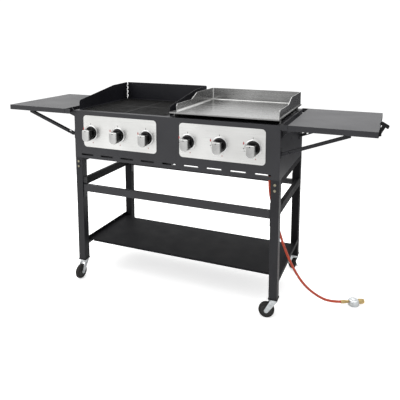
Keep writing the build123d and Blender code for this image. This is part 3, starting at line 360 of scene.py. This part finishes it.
stainless = surface_material("stainless", brushed_lines, {
    "Stretch": (6.0, 520.0, 520.0), "Smooth": 0.26, "Rough": 0.4,
    "Dull": (0.70, 0.70, 0.685, 1.0), "Bright": (0.84, 0.84, 0.825, 1.0),
}, bump=0.08, metallic=1.0)
dress(stainless, "left_control_panel", "right_control_panel")

# Knob bezels: six rings turned from stainless bar and polished, with a raised lip round the knob's skirt
# and a chamfer down to the control panel. The valve necks hold them on.
panel_face_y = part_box("left_control_panel")[0][1]
knob_names = [f"knob_{number}" for number in range(1, 7)]
turn_joints = {joint["child"]: joint for joint in frame["joints"] if joint["name"].endswith("_turn")}
knob_centres = [(turn_joints[name]["pos_m"][0], turn_joints[name]["pos_m"][2]) for name in knob_names]
bezel_profile = [
    (0.0130, 0.0), (0.0130, 0.0010), (0.0306, 0.0010), (0.0314, 0.0012), (0.0322, 0.0018), (0.0332, 0.0020),
    (0.0352, 0.0020), (0.0364, 0.0017), (0.0396, 0.0005), (0.0400, 0.0),
]
sharp_edge = math.radians(40)


def lofted(name, *shells, joined=False):
    """A smooth mesh of shells, each a list of rings of points. Joined shells close on themselves."""
    shape = bmesh.new()
    for rings in shells:
        rows = [[shape.verts.new(point) for point in ring] for ring in rings]
        count = len(rows[0])
        for first, second in zip(rows, rows[1:] + rows[:1] if joined else rows[1:]):
            for index in range(count):
                after = (index + 1) % count
                shape.faces.new((first[index], first[after], second[after], second[index]))
        if not joined:
            shape.faces.new(list(reversed(rows[0])))
            shape.faces.new(rows[-1])
    bmesh.ops.recalc_face_normals(shape, faces=shape.faces)
    mesh = bpy.data.meshes.new(name)
    shape.to_mesh(mesh)
    shape.free()
    for face in mesh.polygons:
        face.use_smooth = True
    mesh.set_sharp_from_angle(angle=sharp_edge)
    piece = bpy.data.objects.new(name, mesh)
    scene.collection.objects.link(piece)
    return piece


def turned_rings(profile, place, axis, count=48):
    """Rings round an axis, from a profile of radius and distance along it."""
    side = axis.orthogonal().normalized()
    other = axis.cross(side)
    rings = []
    for radius, along in profile:
        rings.append([
            place + axis * along + (side * math.cos(turn) + other * math.sin(turn)) * radius
            for turn in (2 * math.pi * step / count for step in range(count))
        ])
    return rings


bezels = lofted("knob_bezel_rings", *[
    turned_rings(bezel_profile, Vector((x, panel_face_y, z)), Vector((0.0, -1.0, 0.0)))
    for x, z in knob_centres
], joined=True)
bezel_steel = surface_material("bezel_steel", brushed_lines, {
    "Stretch": (60.0, 300.0, 300.0), "Smooth": 0.10, "Rough": 0.2,
    "Dull": (0.52, 0.52, 0.515, 1.0), "Bright": (0.66, 0.66, 0.655, 1.0),
}, bump=0.04, metallic=1.0)
bezels.data.materials.append(bezel_steel)
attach(bezels, "cart")
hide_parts("knob_bezels")

# Dial marks: thin ink on the control panels round each knob. A black tick shows off, a large red drop
# shows the high flame and a small one the low flame, and two black dots lie between high and low.
ink_depth = 0.00015
tick_rise = 0.0450
tick_width = 0.0024
tick_height = 0.008
drop_fullness = 0.62
flame_places = ((-0.0445, 0.0205, 0.009, 0.016), (0.0130, -0.0500, 0.0055, 0.0075))
dot_places = ((-0.0445, -0.0065, 0.0026), (-0.0416, -0.0180, 0.0018))


def flat_marks(name, outlines, depth):
    """A mesh of thin flat marks on the control panels, from outlines in x and z."""
    shape = bmesh.new()
    for outline in outlines:
        back = [shape.verts.new((x, panel_face_y, z)) for x, z in outline]
        front = [shape.verts.new((x, panel_face_y - depth, z)) for x, z in outline]
        shape.faces.new(front)
        for index in range(len(outline)):
            after = (index + 1) % len(outline)
            shape.faces.new((back[index], back[after], front[after], front[index]))
    bmesh.ops.recalc_face_normals(shape, faces=shape.faces)
    mesh = bpy.data.meshes.new(name)
    shape.to_mesh(mesh)
    shape.free()
    marks = bpy.data.objects.new(name, mesh)
    scene.collection.objects.link(marks)
    return marks


def drop_outline(x, z, width, height, count=16):
    """A pointed drop, its tip upwards."""
    points = []
    for step in range(count):
        turn = 2.0 * math.pi * step / count
        narrow = (1.0 - math.cos(turn)) / 2.0
        points.append((
            x + math.sin(turn) * narrow * width * drop_fullness,
            z + math.cos(turn) * height / 2.0,
        ))
    return points


def bar_outline(x, z, width, height):
    """A small upright bar."""
    return [
        (x - width / 2, z - height / 2), (x + width / 2, z - height / 2),
        (x + width / 2, z + height / 2), (x - width / 2, z + height / 2),
    ]


def circle_outline(radius, count=48):
    """A circle as points."""
    return [
        (radius * math.cos(2 * math.pi * step / count), radius * math.sin(2 * math.pi * step / count))
        for step in range(count)
    ]


black_outlines = []
red_outlines = []
for x, z in knob_centres:
    black_outlines.append(bar_outline(x, z + tick_rise, tick_width, tick_height))
    for flame_x, flame_z, width, height in flame_places:
        red_outlines.append(drop_outline(x + flame_x, z + flame_z, width, height))
    for dot_x, dot_z, dot_radius in dot_places:
        ring = circle_outline(dot_radius, 16)
        black_outlines.append([(x + dot_x + ring_x, z + dot_z + ring_z) for ring_x, ring_z in ring])


def ink_material(name, deep, pale):
    """Printed ink with a faint screen grain."""
    return surface_material(name, coat_grain, {
        "Grain": 1500.0, "Patches": 200.0, "Smooth": 0.5, "Rough": 0.6, "Deep": deep, "Pale": pale,
    }, bump=0.02)


for marks_name, outlines, deep, pale in (
    ("dial_ticks", black_outlines, (0.02, 0.02, 0.02, 1.0), (0.04, 0.04, 0.04, 1.0)),
    ("dial_flames", red_outlines, (0.34, 0.05, 0.045, 1.0), (0.46, 0.09, 0.08, 1.0)),
):
    dial_marks = flat_marks(marks_name, outlines, ink_depth)
    dial_marks.data.materials.append(ink_material(marks_name + "_ink", deep, pale))
    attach(dial_marks, "cart")

# Knobs: a moulded black skirt and grip with a bright plated plate over the front, marked with a dot.
# Each is pushed onto the flat of its valve stem.
knob_low, knob_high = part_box("knob_1")
knob_back_y = knob_high[1]
knob_depth = knob_high[1] - knob_low[1]
skirt_radius = 0.030
skirt_depth = 0.009
grip_width = 0.043
grip_top = 0.0205
grip_bottom = 0.039
grip_corner = 0.006
face_depth = 0.0045
skirt_rim = ((0.0, 0.0028), (0.0008, 0.0012), (0.0022, 0.0003), (0.0042, 0.0))
face_rim = ((0.0003, face_depth), (0.0003, 0.0022), (0.0011, 0.0007), (0.0026, 0.0001), (0.0050, 0.0004))
grip_root = skirt_depth - 0.0005
grip_end = knob_depth - face_depth
grip_taper = ((0.0, grip_root), (0.0004, grip_end - 0.006), (0.0006, grip_end))
face_dot_radius = 0.0026
face_dot_shift = (-0.0020, 0.0140)
face_dot_depths = (knob_depth - 0.003, knob_depth - 0.0001)


def grip_outline(inset):
    """The grip's outline seen from the front: flat top with round corners, and a round lower end."""
    half = grip_width / 2 - inset
    low_centre = grip_width / 2 - grip_bottom
    top = grip_top - inset
    corner = grip_corner - inset / 2
    points = []
    for step in range(25):
        turn = math.pi + math.pi * step / 24
        points.append((half * math.cos(turn), low_centre + half * math.sin(turn)))
    for centre_x, start in ((half - corner, 0.0), (corner - half, math.pi / 2)):
        for step in range(7):
            turn = start + math.pi / 2 * step / 6
            points.append((centre_x + corner * math.cos(turn), top - corner + corner * math.sin(turn)))
    return points


def ring_at(outline, depth, centre):
    """An outline in front of the panel at a depth from the knob's back."""
    return [(centre[0] + x, knob_back_y - depth, centre[1] + z) for x, z in outline]


knob_black = surface_material("knob_black", coat_grain, {
    "Grain": 1200.0, "Patches": 60.0, "Smooth": 0.14, "Rough": 0.24,
    "Deep": (0.002, 0.002, 0.0022, 1.0), "Pale": (0.004, 0.004, 0.0044, 1.0),
}, bump=0.04, gloss=0.16)
bright_plate = surface_material("bright_plate", coat_grain, {
    "Grain": 900.0, "Patches": 40.0, "Smooth": 0.10, "Rough": 0.2,
    "Deep": (0.52, 0.52, 0.515, 1.0), "Pale": (0.62, 0.62, 0.61, 1.0),
}, bump=0.02, metallic=1.0)
for knob_name, centre in zip(knob_names, knob_centres):
    skirt_back = ring_at(circle_outline(skirt_radius), 0.0, centre)
    skirt = lofted(knob_name + "_skirt", [skirt_back] + [
        ring_at(circle_outline(skirt_radius - inset), skirt_depth - drop, centre)
        for inset, drop in skirt_rim
    ])
    grip = lofted(knob_name + "_grip", [
        ring_at(grip_outline(inset), depth, centre) for inset, depth in grip_taper
    ])
    face = lofted(knob_name + "_face", [
        ring_at(grip_outline(inset), knob_depth - drop, centre) for inset, drop in face_rim
    ])
    dot_place = (centre[0] + face_dot_shift[0], centre[1] + face_dot_shift[1])
    dot = lofted(knob_name + "_dot", [
        ring_at(circle_outline(face_dot_radius, 20), depth, dot_place) for depth in face_dot_depths
    ])
    for piece in (skirt, grip, face, dot):
        piece.data.materials.append(bright_plate if piece is face else knob_black)
        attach(piece, knob_name)
    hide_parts(knob_name)

# Gas train behind the front panel: brass valve blocks, a painted steel manifold pipe, and thin stainless
# burner tubes that take a straw tint from the heat.
brass = surface_material("brass", coat_grain, {
    "Grain": 800.0, "Patches": 40.0, "Smooth": 0.28, "Rough": 0.42,
    "Deep": (0.42, 0.30, 0.12, 1.0), "Pale": (0.66, 0.50, 0.24, 1.0),
}, bump=0.06, metallic=1.0)
dress(brass, "gas_valves")
pipe_coat = surface_material("pipe_coat", coat_grain, {
    "Grain": 500.0, "Patches": 20.0, "Smooth": 0.4, "Rough": 0.55,
    "Deep": (0.03, 0.03, 0.032, 1.0), "Pale": (0.06, 0.06, 0.063, 1.0),
}, bump=0.1)
dress(pipe_coat, "gas_manifold")
burner_steel = surface_material("burner_steel", brushed_lines, {
    "Stretch": (200.0, 8.0, 200.0), "Smooth": 0.3, "Rough": 0.45,
    "Dull": (0.38, 0.33, 0.27, 1.0), "Bright": (0.62, 0.59, 0.54, 1.0),
}, bump=0.06, metallic=1.0)
dress(burner_steel, "grill_burners", "griddle_burners", "flame_tamers")

# Inner ledges, tray runners and drip trays: folded galvanised sheet, its colour painted dark as shade
# inside the body. The runners are fixed under the body, and the trays slide out to the rear on them.
# The dark base colours are painted shade inside the body.
galvanised = surface_material("galvanised", coat_grain, {
    "Grain": 120.0, "Patches": 45.0, "Smooth": 0.38, "Rough": 0.48,
    "Deep": (0.09, 0.09, 0.095, 1.0), "Pale": (0.12, 0.12, 0.125, 1.0),
}, bump=0.05, metallic=1.0)
dress(galvanised, "inner_rails", "tray_runners", "grill_drip_tray", "griddle_drip_tray")

# Grates: two sand-cast iron plates with long slots between their bars, seasoned matt black.
# They lie loose on the ledges and lift out.
cast_iron = surface_material("cast_iron", coat_grain, {
    "Grain": 330.0, "Patches": 14.0, "Smooth": 0.5, "Rough": 0.72,
    "Deep": (0.006, 0.006, 0.006, 1.0), "Pale": (0.014, 0.0136, 0.0132, 1.0),
}, bump=0.5, gloss=0.15)
dress(cast_iron, "left_grate", "right_grate")

# Griddle: a bare rolled steel plate with three welded walls, ground along its length. Painted shade darkens
# the plate along the foot of its rear wall.
griddle_low, griddle_high = (Vector(corner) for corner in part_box("griddle"))
plate_thickness = 0.006
plate_share = plate_thickness / (griddle_high.z - griddle_low.z)
shade_start = 0.45
# Painted shade: the plate's top is mixed towards a dark colour from the middle back to the rear wall.
painted_rear_shade, shade_in, shade_out = effect_group("painted_rear_shade", [
    ("Stretch", "NodeSocketVector", (4.0, 160.0, 160.0)),
    ("Smooth", "NodeSocketFloat", 0.18),
    ("Rough", "NodeSocketFloat", 0.31),
    ("Dull", "NodeSocketColor", (0.27, 0.27, 0.267, 1.0)),
    ("Bright", "NodeSocketColor", (0.39, 0.39, 0.386, 1.0)),
    ("Shaded", "NodeSocketColor", (0.07, 0.07, 0.069, 1.0)),
], surface_outputs)
shade_steel = add_node(painted_rear_shade, "ShaderNodeGroup", node_tree=brushed_lines)
shade_place = add_node(painted_rear_shade, "ShaderNodeTexCoord")
shade_axes = add_node(painted_rear_shade, "ShaderNodeSeparateXYZ")
shade_plate = spread(painted_rear_shade, plate_share * 1.2, plate_share * 1.6, 1.0, 0.0)
shade_rear = spread(painted_rear_shade, shade_start, 1.0)
shade_rear.interpolation_type = "SMOOTHSTEP"
shade_share = add_node(painted_rear_shade, "ShaderNodeMath", operation="MULTIPLY")
shade_colour = add_node(painted_rear_shade, "ShaderNodeMix", data_type="RGBA")
for label in ("Stretch", "Smooth", "Rough", "Dull", "Bright"):
    link_nodes(painted_rear_shade, (shade_in.outputs[label], shade_steel.inputs[label]))
link_nodes(
    painted_rear_shade,
    (shade_place.outputs["Generated"], shade_axes.inputs["Vector"]),
    (shade_axes.outputs["Z"], shade_plate.inputs["Value"]),
    (shade_axes.outputs["Y"], shade_rear.inputs["Value"]),
    (shade_plate.outputs["Result"], shade_share.inputs[0]),
    (shade_rear.outputs["Result"], shade_share.inputs[1]),
    (shade_share.outputs["Value"], shade_colour.inputs["Factor"]),
    (shade_steel.outputs["Colour"], shade_colour.inputs["A"]),
    (shade_in.outputs["Shaded"], shade_colour.inputs["B"]),
    (shade_colour.outputs["Result"], shade_out.inputs["Colour"]),
    (shade_steel.outputs["Roughness"], shade_out.inputs["Roughness"]),
    (shade_steel.outputs["Height"], shade_out.inputs["Height"]),
)
# The dark colour below is painted shade along the foot of the rear wall.
griddle_steel = surface_material("griddle_steel", painted_rear_shade, {
    "Stretch": (4.0, 160.0, 160.0), "Smooth": 0.18, "Rough": 0.31, "Shaded": (0.07, 0.07, 0.069, 1.0),
    "Dull": (0.29, 0.29, 0.287, 1.0), "Bright": (0.42, 0.42, 0.416, 1.0),
}, bump=0.08, metallic=1.0)
dress(griddle_steel, "griddle")

# Griddle welds: fillets of weld metal where the walls meet the plate and each other, ground to a bright
# hollow. They run inside the three walls and up the two rear corners.
side_leg = 0.007
rear_leg = 0.0035
weld_hollow = 0.3
wall_sheet = 0.003
left_inset = 0.024
right_inset = 0.005
wall_setback = 0.027
plate_top = griddle_low.z + plate_thickness
left_inside = griddle_low.x + left_inset + wall_sheet
right_inside = griddle_high.x - right_inset - wall_sheet
rear_inside = griddle_high.y - wall_sheet
wall_front = griddle_low.y + wall_setback


def weld_strip(start, end, side, other, leg=side_leg):
    """Two rings of a fillet that runs between two points and leans on the faces along side and other."""
    section = ((0.0, 0.0), (1.0, 0.0), (weld_hollow, weld_hollow), (0.0, 1.0))
    return [
        [point + (side * along + other * up) * leg for along, up in section]
        for point in (start, end)
    ]


to_right = Vector((1.0, 0.0, 0.0))
to_front = Vector((0.0, -1.0, 0.0))
to_top = Vector((0.0, 0.0, 1.0))
left_rear = Vector((left_inside, rear_inside, plate_top))
right_rear = Vector((right_inside, rear_inside, plate_top))
corner_rise = to_top * (griddle_high.z - plate_top)
foot_run = to_front * (rear_inside - wall_front)
welds = lofted(
    "griddle_welds",
    weld_strip(left_rear, left_rear + foot_run, to_right, to_top),
    weld_strip(right_rear, right_rear + foot_run, -to_right, to_top),
    weld_strip(left_rear, right_rear, to_front, to_top, rear_leg),
    weld_strip(left_rear, left_rear + corner_rise, to_right, to_front),
    weld_strip(right_rear, right_rear + corner_rise, -to_right, to_front),
)
weld_steel = surface_material("weld_steel", brushed_lines, {
    "Stretch": (200.0, 200.0, 200.0), "Smooth": 0.3, "Rough": 0.42,
    "Dull": (0.62, 0.62, 0.61, 1.0), "Bright": (0.78, 0.78, 0.77, 1.0),
}, bump=0.05, metallic=1.0)
welds.data.materials.append(weld_steel)
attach(welds, "griddle")

# Griddle feet: four steel studs with round pads, zinc plated and dulled by heat.
# They carry the plate, two on the body's side rim and two on the divider.
foot_zinc = surface_material("foot_zinc", coat_grain, {
    "Grain": 900.0, "Patches": 90.0, "Smooth": 0.25, "Rough": 0.4,
    "Deep": (0.16, 0.16, 0.16, 1.0), "Pale": (0.26, 0.26, 0.26, 1.0),
}, bump=0.05, metallic=1.0)
dress(foot_zinc, "griddle_feet")

# Windshield: three thin steel sheets in black coat, folded along the foot and toothed at the rear corners.
# They stand on the rim of the grill half, round its rear and sides.
shield_coat = surface_material("shield_coat", coat_grain, {
    "Grain": 600.0, "Patches": 5.0, "Smooth": 0.3, "Rough": 0.42,
    "Deep": (0.008, 0.008, 0.010, 1.0), "Pale": (0.013, 0.013, 0.017, 1.0),
}, bump=0.1, gloss=0.25)
dress(shield_coat, "windshield_left", "windshield_rear", "windshield_right")

# Casters: zinc-plated pressed forks and brake levers under black plates. The wheels are black rubber tyres
# moulded on a black plastic core with a sunk web.
dress(black_coat, "caster_plates")
zinc = surface_material("zinc", coat_grain, {
    "Grain": 700.0, "Patches": 60.0, "Smooth": 0.24, "Rough": 0.4,
    "Deep": (0.50, 0.52, 0.53, 1.0), "Pale": (0.76, 0.79, 0.80, 1.0),
}, bump=0.05, metallic=1.0)
tyre_rubber = surface_material("tyre_rubber", coat_grain, {
    "Grain": 500.0, "Patches": 30.0, "Smooth": 0.6, "Rough": 0.8,
    "Deep": (0.010, 0.009, 0.008, 1.0), "Pale": (0.020, 0.018, 0.017, 1.0),
}, bump=0.2, gloss=0.3)
core_plastic = surface_material("core_plastic", coat_grain, {
    "Grain": 600.0, "Patches": 30.0, "Smooth": 0.42, "Rough": 0.55,
    "Deep": (0.014, 0.013, 0.012, 1.0), "Pale": (0.026, 0.024, 0.023, 1.0),
}, bump=0.05, gloss=0.4)
tyre_profile = [
    (0.0265, -0.0108), (0.0305, -0.0120), (0.0335, -0.0115), (0.0360, -0.0088), (0.0373, -0.0045),
    (0.0375, 0.0), (0.0373, 0.0045), (0.0360, 0.0088), (0.0335, 0.0115), (0.0305, 0.0120), (0.0265, 0.0108),
]
core_profile = [
    (0.0045, -0.0120), (0.0095, -0.0120), (0.0105, -0.0105), (0.0120, -0.0088), (0.0235, -0.0088),
    (0.0245, -0.0106), (0.0268, -0.0108), (0.0268, 0.0108), (0.0245, 0.0106), (0.0235, 0.0088),
    (0.0120, 0.0088), (0.0105, 0.0105), (0.0095, 0.0120), (0.0045, 0.0120),
]
roll_joints = {joint["child"]: joint for joint in frame["joints"] if joint["name"].endswith("_roll")}
for corner in ("front_left", "front_right", "rear_left", "rear_right"):
    dress(zinc, corner + "_fork", corner + "_brake")
    wheel_name = corner + "_wheel"
    wheel_place = Vector(roll_joints[wheel_name]["pos_m"])
    wheel_axis = Vector(roll_joints[wheel_name]["axis"]).normalized()
    tyre = lofted(corner + "_tyre", turned_rings(tyre_profile, wheel_place, wheel_axis), joined=True)
    core = lofted(corner + "_core", turned_rings(core_profile, wheel_place, wheel_axis), joined=True)
    tyre.data.materials.append(tyre_rubber)
    core.data.materials.append(core_plastic)
    for piece in (tyre, core):
        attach(piece, wheel_name)
    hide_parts(wheel_name)

# Side shelves: pressed trays in black coat, hinged on brackets and held up by folded struts.
# Their front and rear lips run on past the tray's end as flat arms that close the gap beside the body.
# A flat T of plate on the right one holds tools.
dress(panel_coat, "left_shelf", "right_shelf")
shelf_gap = 0.037
shelf_lip = 0.025
arm_sheet = 0.0015
arm_gap = 0.005
arm_corner = 0.010
body_side_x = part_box("right_side_panel")[1][0]


def arm_outline(start_x, end_x, low_z, high_z):
    """A flat arm seen from the front, with a round lower corner at its free end."""
    away = math.copysign(1.0, end_x - start_x)
    points = [(start_x, low_z), (start_x, high_z), (end_x, high_z)]
    for step in range(7):
        turn = math.pi / 2 * step / 6
        points.append((
            end_x - away * arm_corner * (1.0 - math.cos(turn)),
            low_z + arm_corner * (1.0 - math.sin(turn)),
        ))
    return points


for shelf_name, side in (("left_shelf", -1.0), ("right_shelf", 1.0)):
    shelf_low, shelf_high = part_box(shelf_name)
    arm_root = side * (body_side_x + shelf_gap)
    arm_end = side * (body_side_x + arm_gap)
    outline = arm_outline(arm_root, arm_end, shelf_high[2] - shelf_lip, shelf_high[2])
    arms = lofted(shelf_name + "_arms", *[
        [[(x, y, z) for x, z in outline] for y in (start_y, start_y + arm_sheet)]
        for start_y in (shelf_low[1], shelf_high[1] - arm_sheet)
    ])
    arms.data.materials.append(panel_coat)
    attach(arms, shelf_name)
# The brackets and struts take the darker leg coat as painted shade under the shelves.
dress(black_coat, "shelf_brackets", "left_struts", "right_struts")
hook_black = surface_material("hook_black", coat_grain, {
    "Grain": 900.0, "Patches": 30.0, "Smooth": 0.42, "Rough": 0.58,
    "Deep": (0.004, 0.004, 0.0045, 1.0), "Pale": (0.008, 0.008, 0.0085, 1.0),
}, bump=0.1, gloss=0.2)
dress(hook_black, "utensil_hook")

# Gas hose: orange rubber over braid, from the manifold's ferrule down behind the right leg to the floor.
# A tapered rubber sleeve is pushed over its upper end, and its lower end is crimped to the regulator.
hose_points = [
    (0.498, -0.2338, 0.700), (0.498, -0.2338, 0.648), (0.496, -0.212, 0.590), (0.502, -0.186, 0.525),
    (0.515, -0.168, 0.455), (0.532, -0.152, 0.380), (0.553, -0.138, 0.305), (0.580, -0.124, 0.232),
    (0.612, -0.110, 0.163), (0.652, -0.092, 0.102), (0.702, -0.068, 0.054), (0.764, -0.040, 0.018),
    (0.826, -0.012, 0.018),
]
hose_radius = 0.006
hose_curve = bpy.data.curves.new("hose", "CURVE")
hose_curve.dimensions = "3D"
hose_curve.bevel_depth = hose_radius
hose_curve.bevel_resolution = 8
hose_curve.resolution_u = 16
hose_line = hose_curve.splines.new("NURBS")
hose_line.points.add(len(hose_points) - 1)
for point, place in zip(hose_line.points, hose_points):
    point.co = (*place, 1.0)
hose_line.order_u = 3
hose_line.use_endpoint_u = True
hose = bpy.data.objects.new("hose", hose_curve)
scene.collection.objects.link(hose)
hose_rubber = surface_material("hose_rubber", coat_grain, {
    "Grain": 420.0, "Patches": 25.0, "Smooth": 0.38, "Rough": 0.52,
    "Deep": (0.40, 0.042, 0.016, 1.0), "Pale": (0.55, 0.070, 0.024, 1.0),
}, bump=0.12)
hose_curve.materials.append(hose_rubber)
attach(hose, "cart")
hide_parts("gas_hose")
sleeve_profile = [
    (0.0058, 0.0), (0.0095, 0.0), (0.0096, 0.0035), (0.0090, 0.0075), (0.0080, 0.0140), (0.0073, 0.0190),
    (0.0070, 0.0200), (0.0058, 0.0200),
]
sleeve_rings = turned_rings(sleeve_profile, Vector(hose_points[0]), Vector((0.0, 0.0, -1.0)))
sleeve = lofted("hose_sleeve", sleeve_rings, joined=True)
sleeve.data.materials.append(tyre_rubber)
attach(sleeve, "cart")

# Regulator: a die-cast housing in two halves with a rolled flange between them and a cap on top, resting on
# the floor. A brass ferrule holds the hose on one side, and a brass nut with a spigot turns on the other.
hose_end = Vector(hose_points[-1])
hose_run = (hose_end - Vector(hose_points[-2])).normalized()
tail_length = 0.022
housing_radius = 0.028
housing_base = 0.0005
housing_place = hose_end + hose_run * (tail_length + housing_radius)
housing_place.z = housing_base
housing_profile = [
    (0.0215, 0.0), (0.0258, 0.0008), (0.0268, 0.0028), (0.0270, 0.0118), (0.0279, 0.0126),
    (0.0280, 0.0140), (0.0280, 0.0166), (0.0279, 0.0180), (0.0268, 0.0188), (0.0264, 0.0224),
    (0.0252, 0.0250), (0.0228, 0.0268), (0.0180, 0.0280), (0.0150, 0.0283), (0.0146, 0.0300),
    (0.0138, 0.0314), (0.0118, 0.0320),
]
ferrule_profile = [
    (0.0062, -0.0140), (0.0082, -0.0140), (0.0086, -0.0128), (0.0086, -0.0095), (0.0080, -0.0085),
    (0.0080, -0.0065), (0.0086, -0.0055), (0.0086, -0.0015), (0.0080, -0.0005), (0.0080, 0.0015),
    (0.0086, 0.0025), (0.0086, 0.0070), (0.0078, 0.0085), (0.0068, 0.0095), (0.0068, 0.0240),
    (0.0050, 0.0240), (0.0050, -0.0100),
]
nut_start = 0.074
nut_profile = [(0.0116, 0.0), (0.0130, 0.0018), (0.0130, 0.0212), (0.0116, 0.0230)]
spigot_profile = [
    (0.0060, 0.0225), (0.0100, 0.0225), (0.0104, 0.0235), (0.0104, 0.0270), (0.0096, 0.0280),
    (0.0078, 0.0280), (0.0070, 0.0265),
]
housing = lofted("regulator_housing", turned_rings(housing_profile, housing_place, Vector((0.0, 0.0, 1.0))))
ferrule = lofted("hose_ferrule", turned_rings(ferrule_profile, hose_end, hose_run), joined=True)
nut_place = hose_end + hose_run * nut_start
nut = lofted("regulator_nut", turned_rings(nut_profile, nut_place, hose_run, count=6))
spigot = lofted("regulator_spigot", turned_rings(spigot_profile, nut_place, hose_run), joined=True)
for piece, material in ((housing, zinc), (ferrule, brass), (nut, brass), (spigot, brass)):
    piece.data.materials.append(material)
    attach(piece, "cart")
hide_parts("regulator")
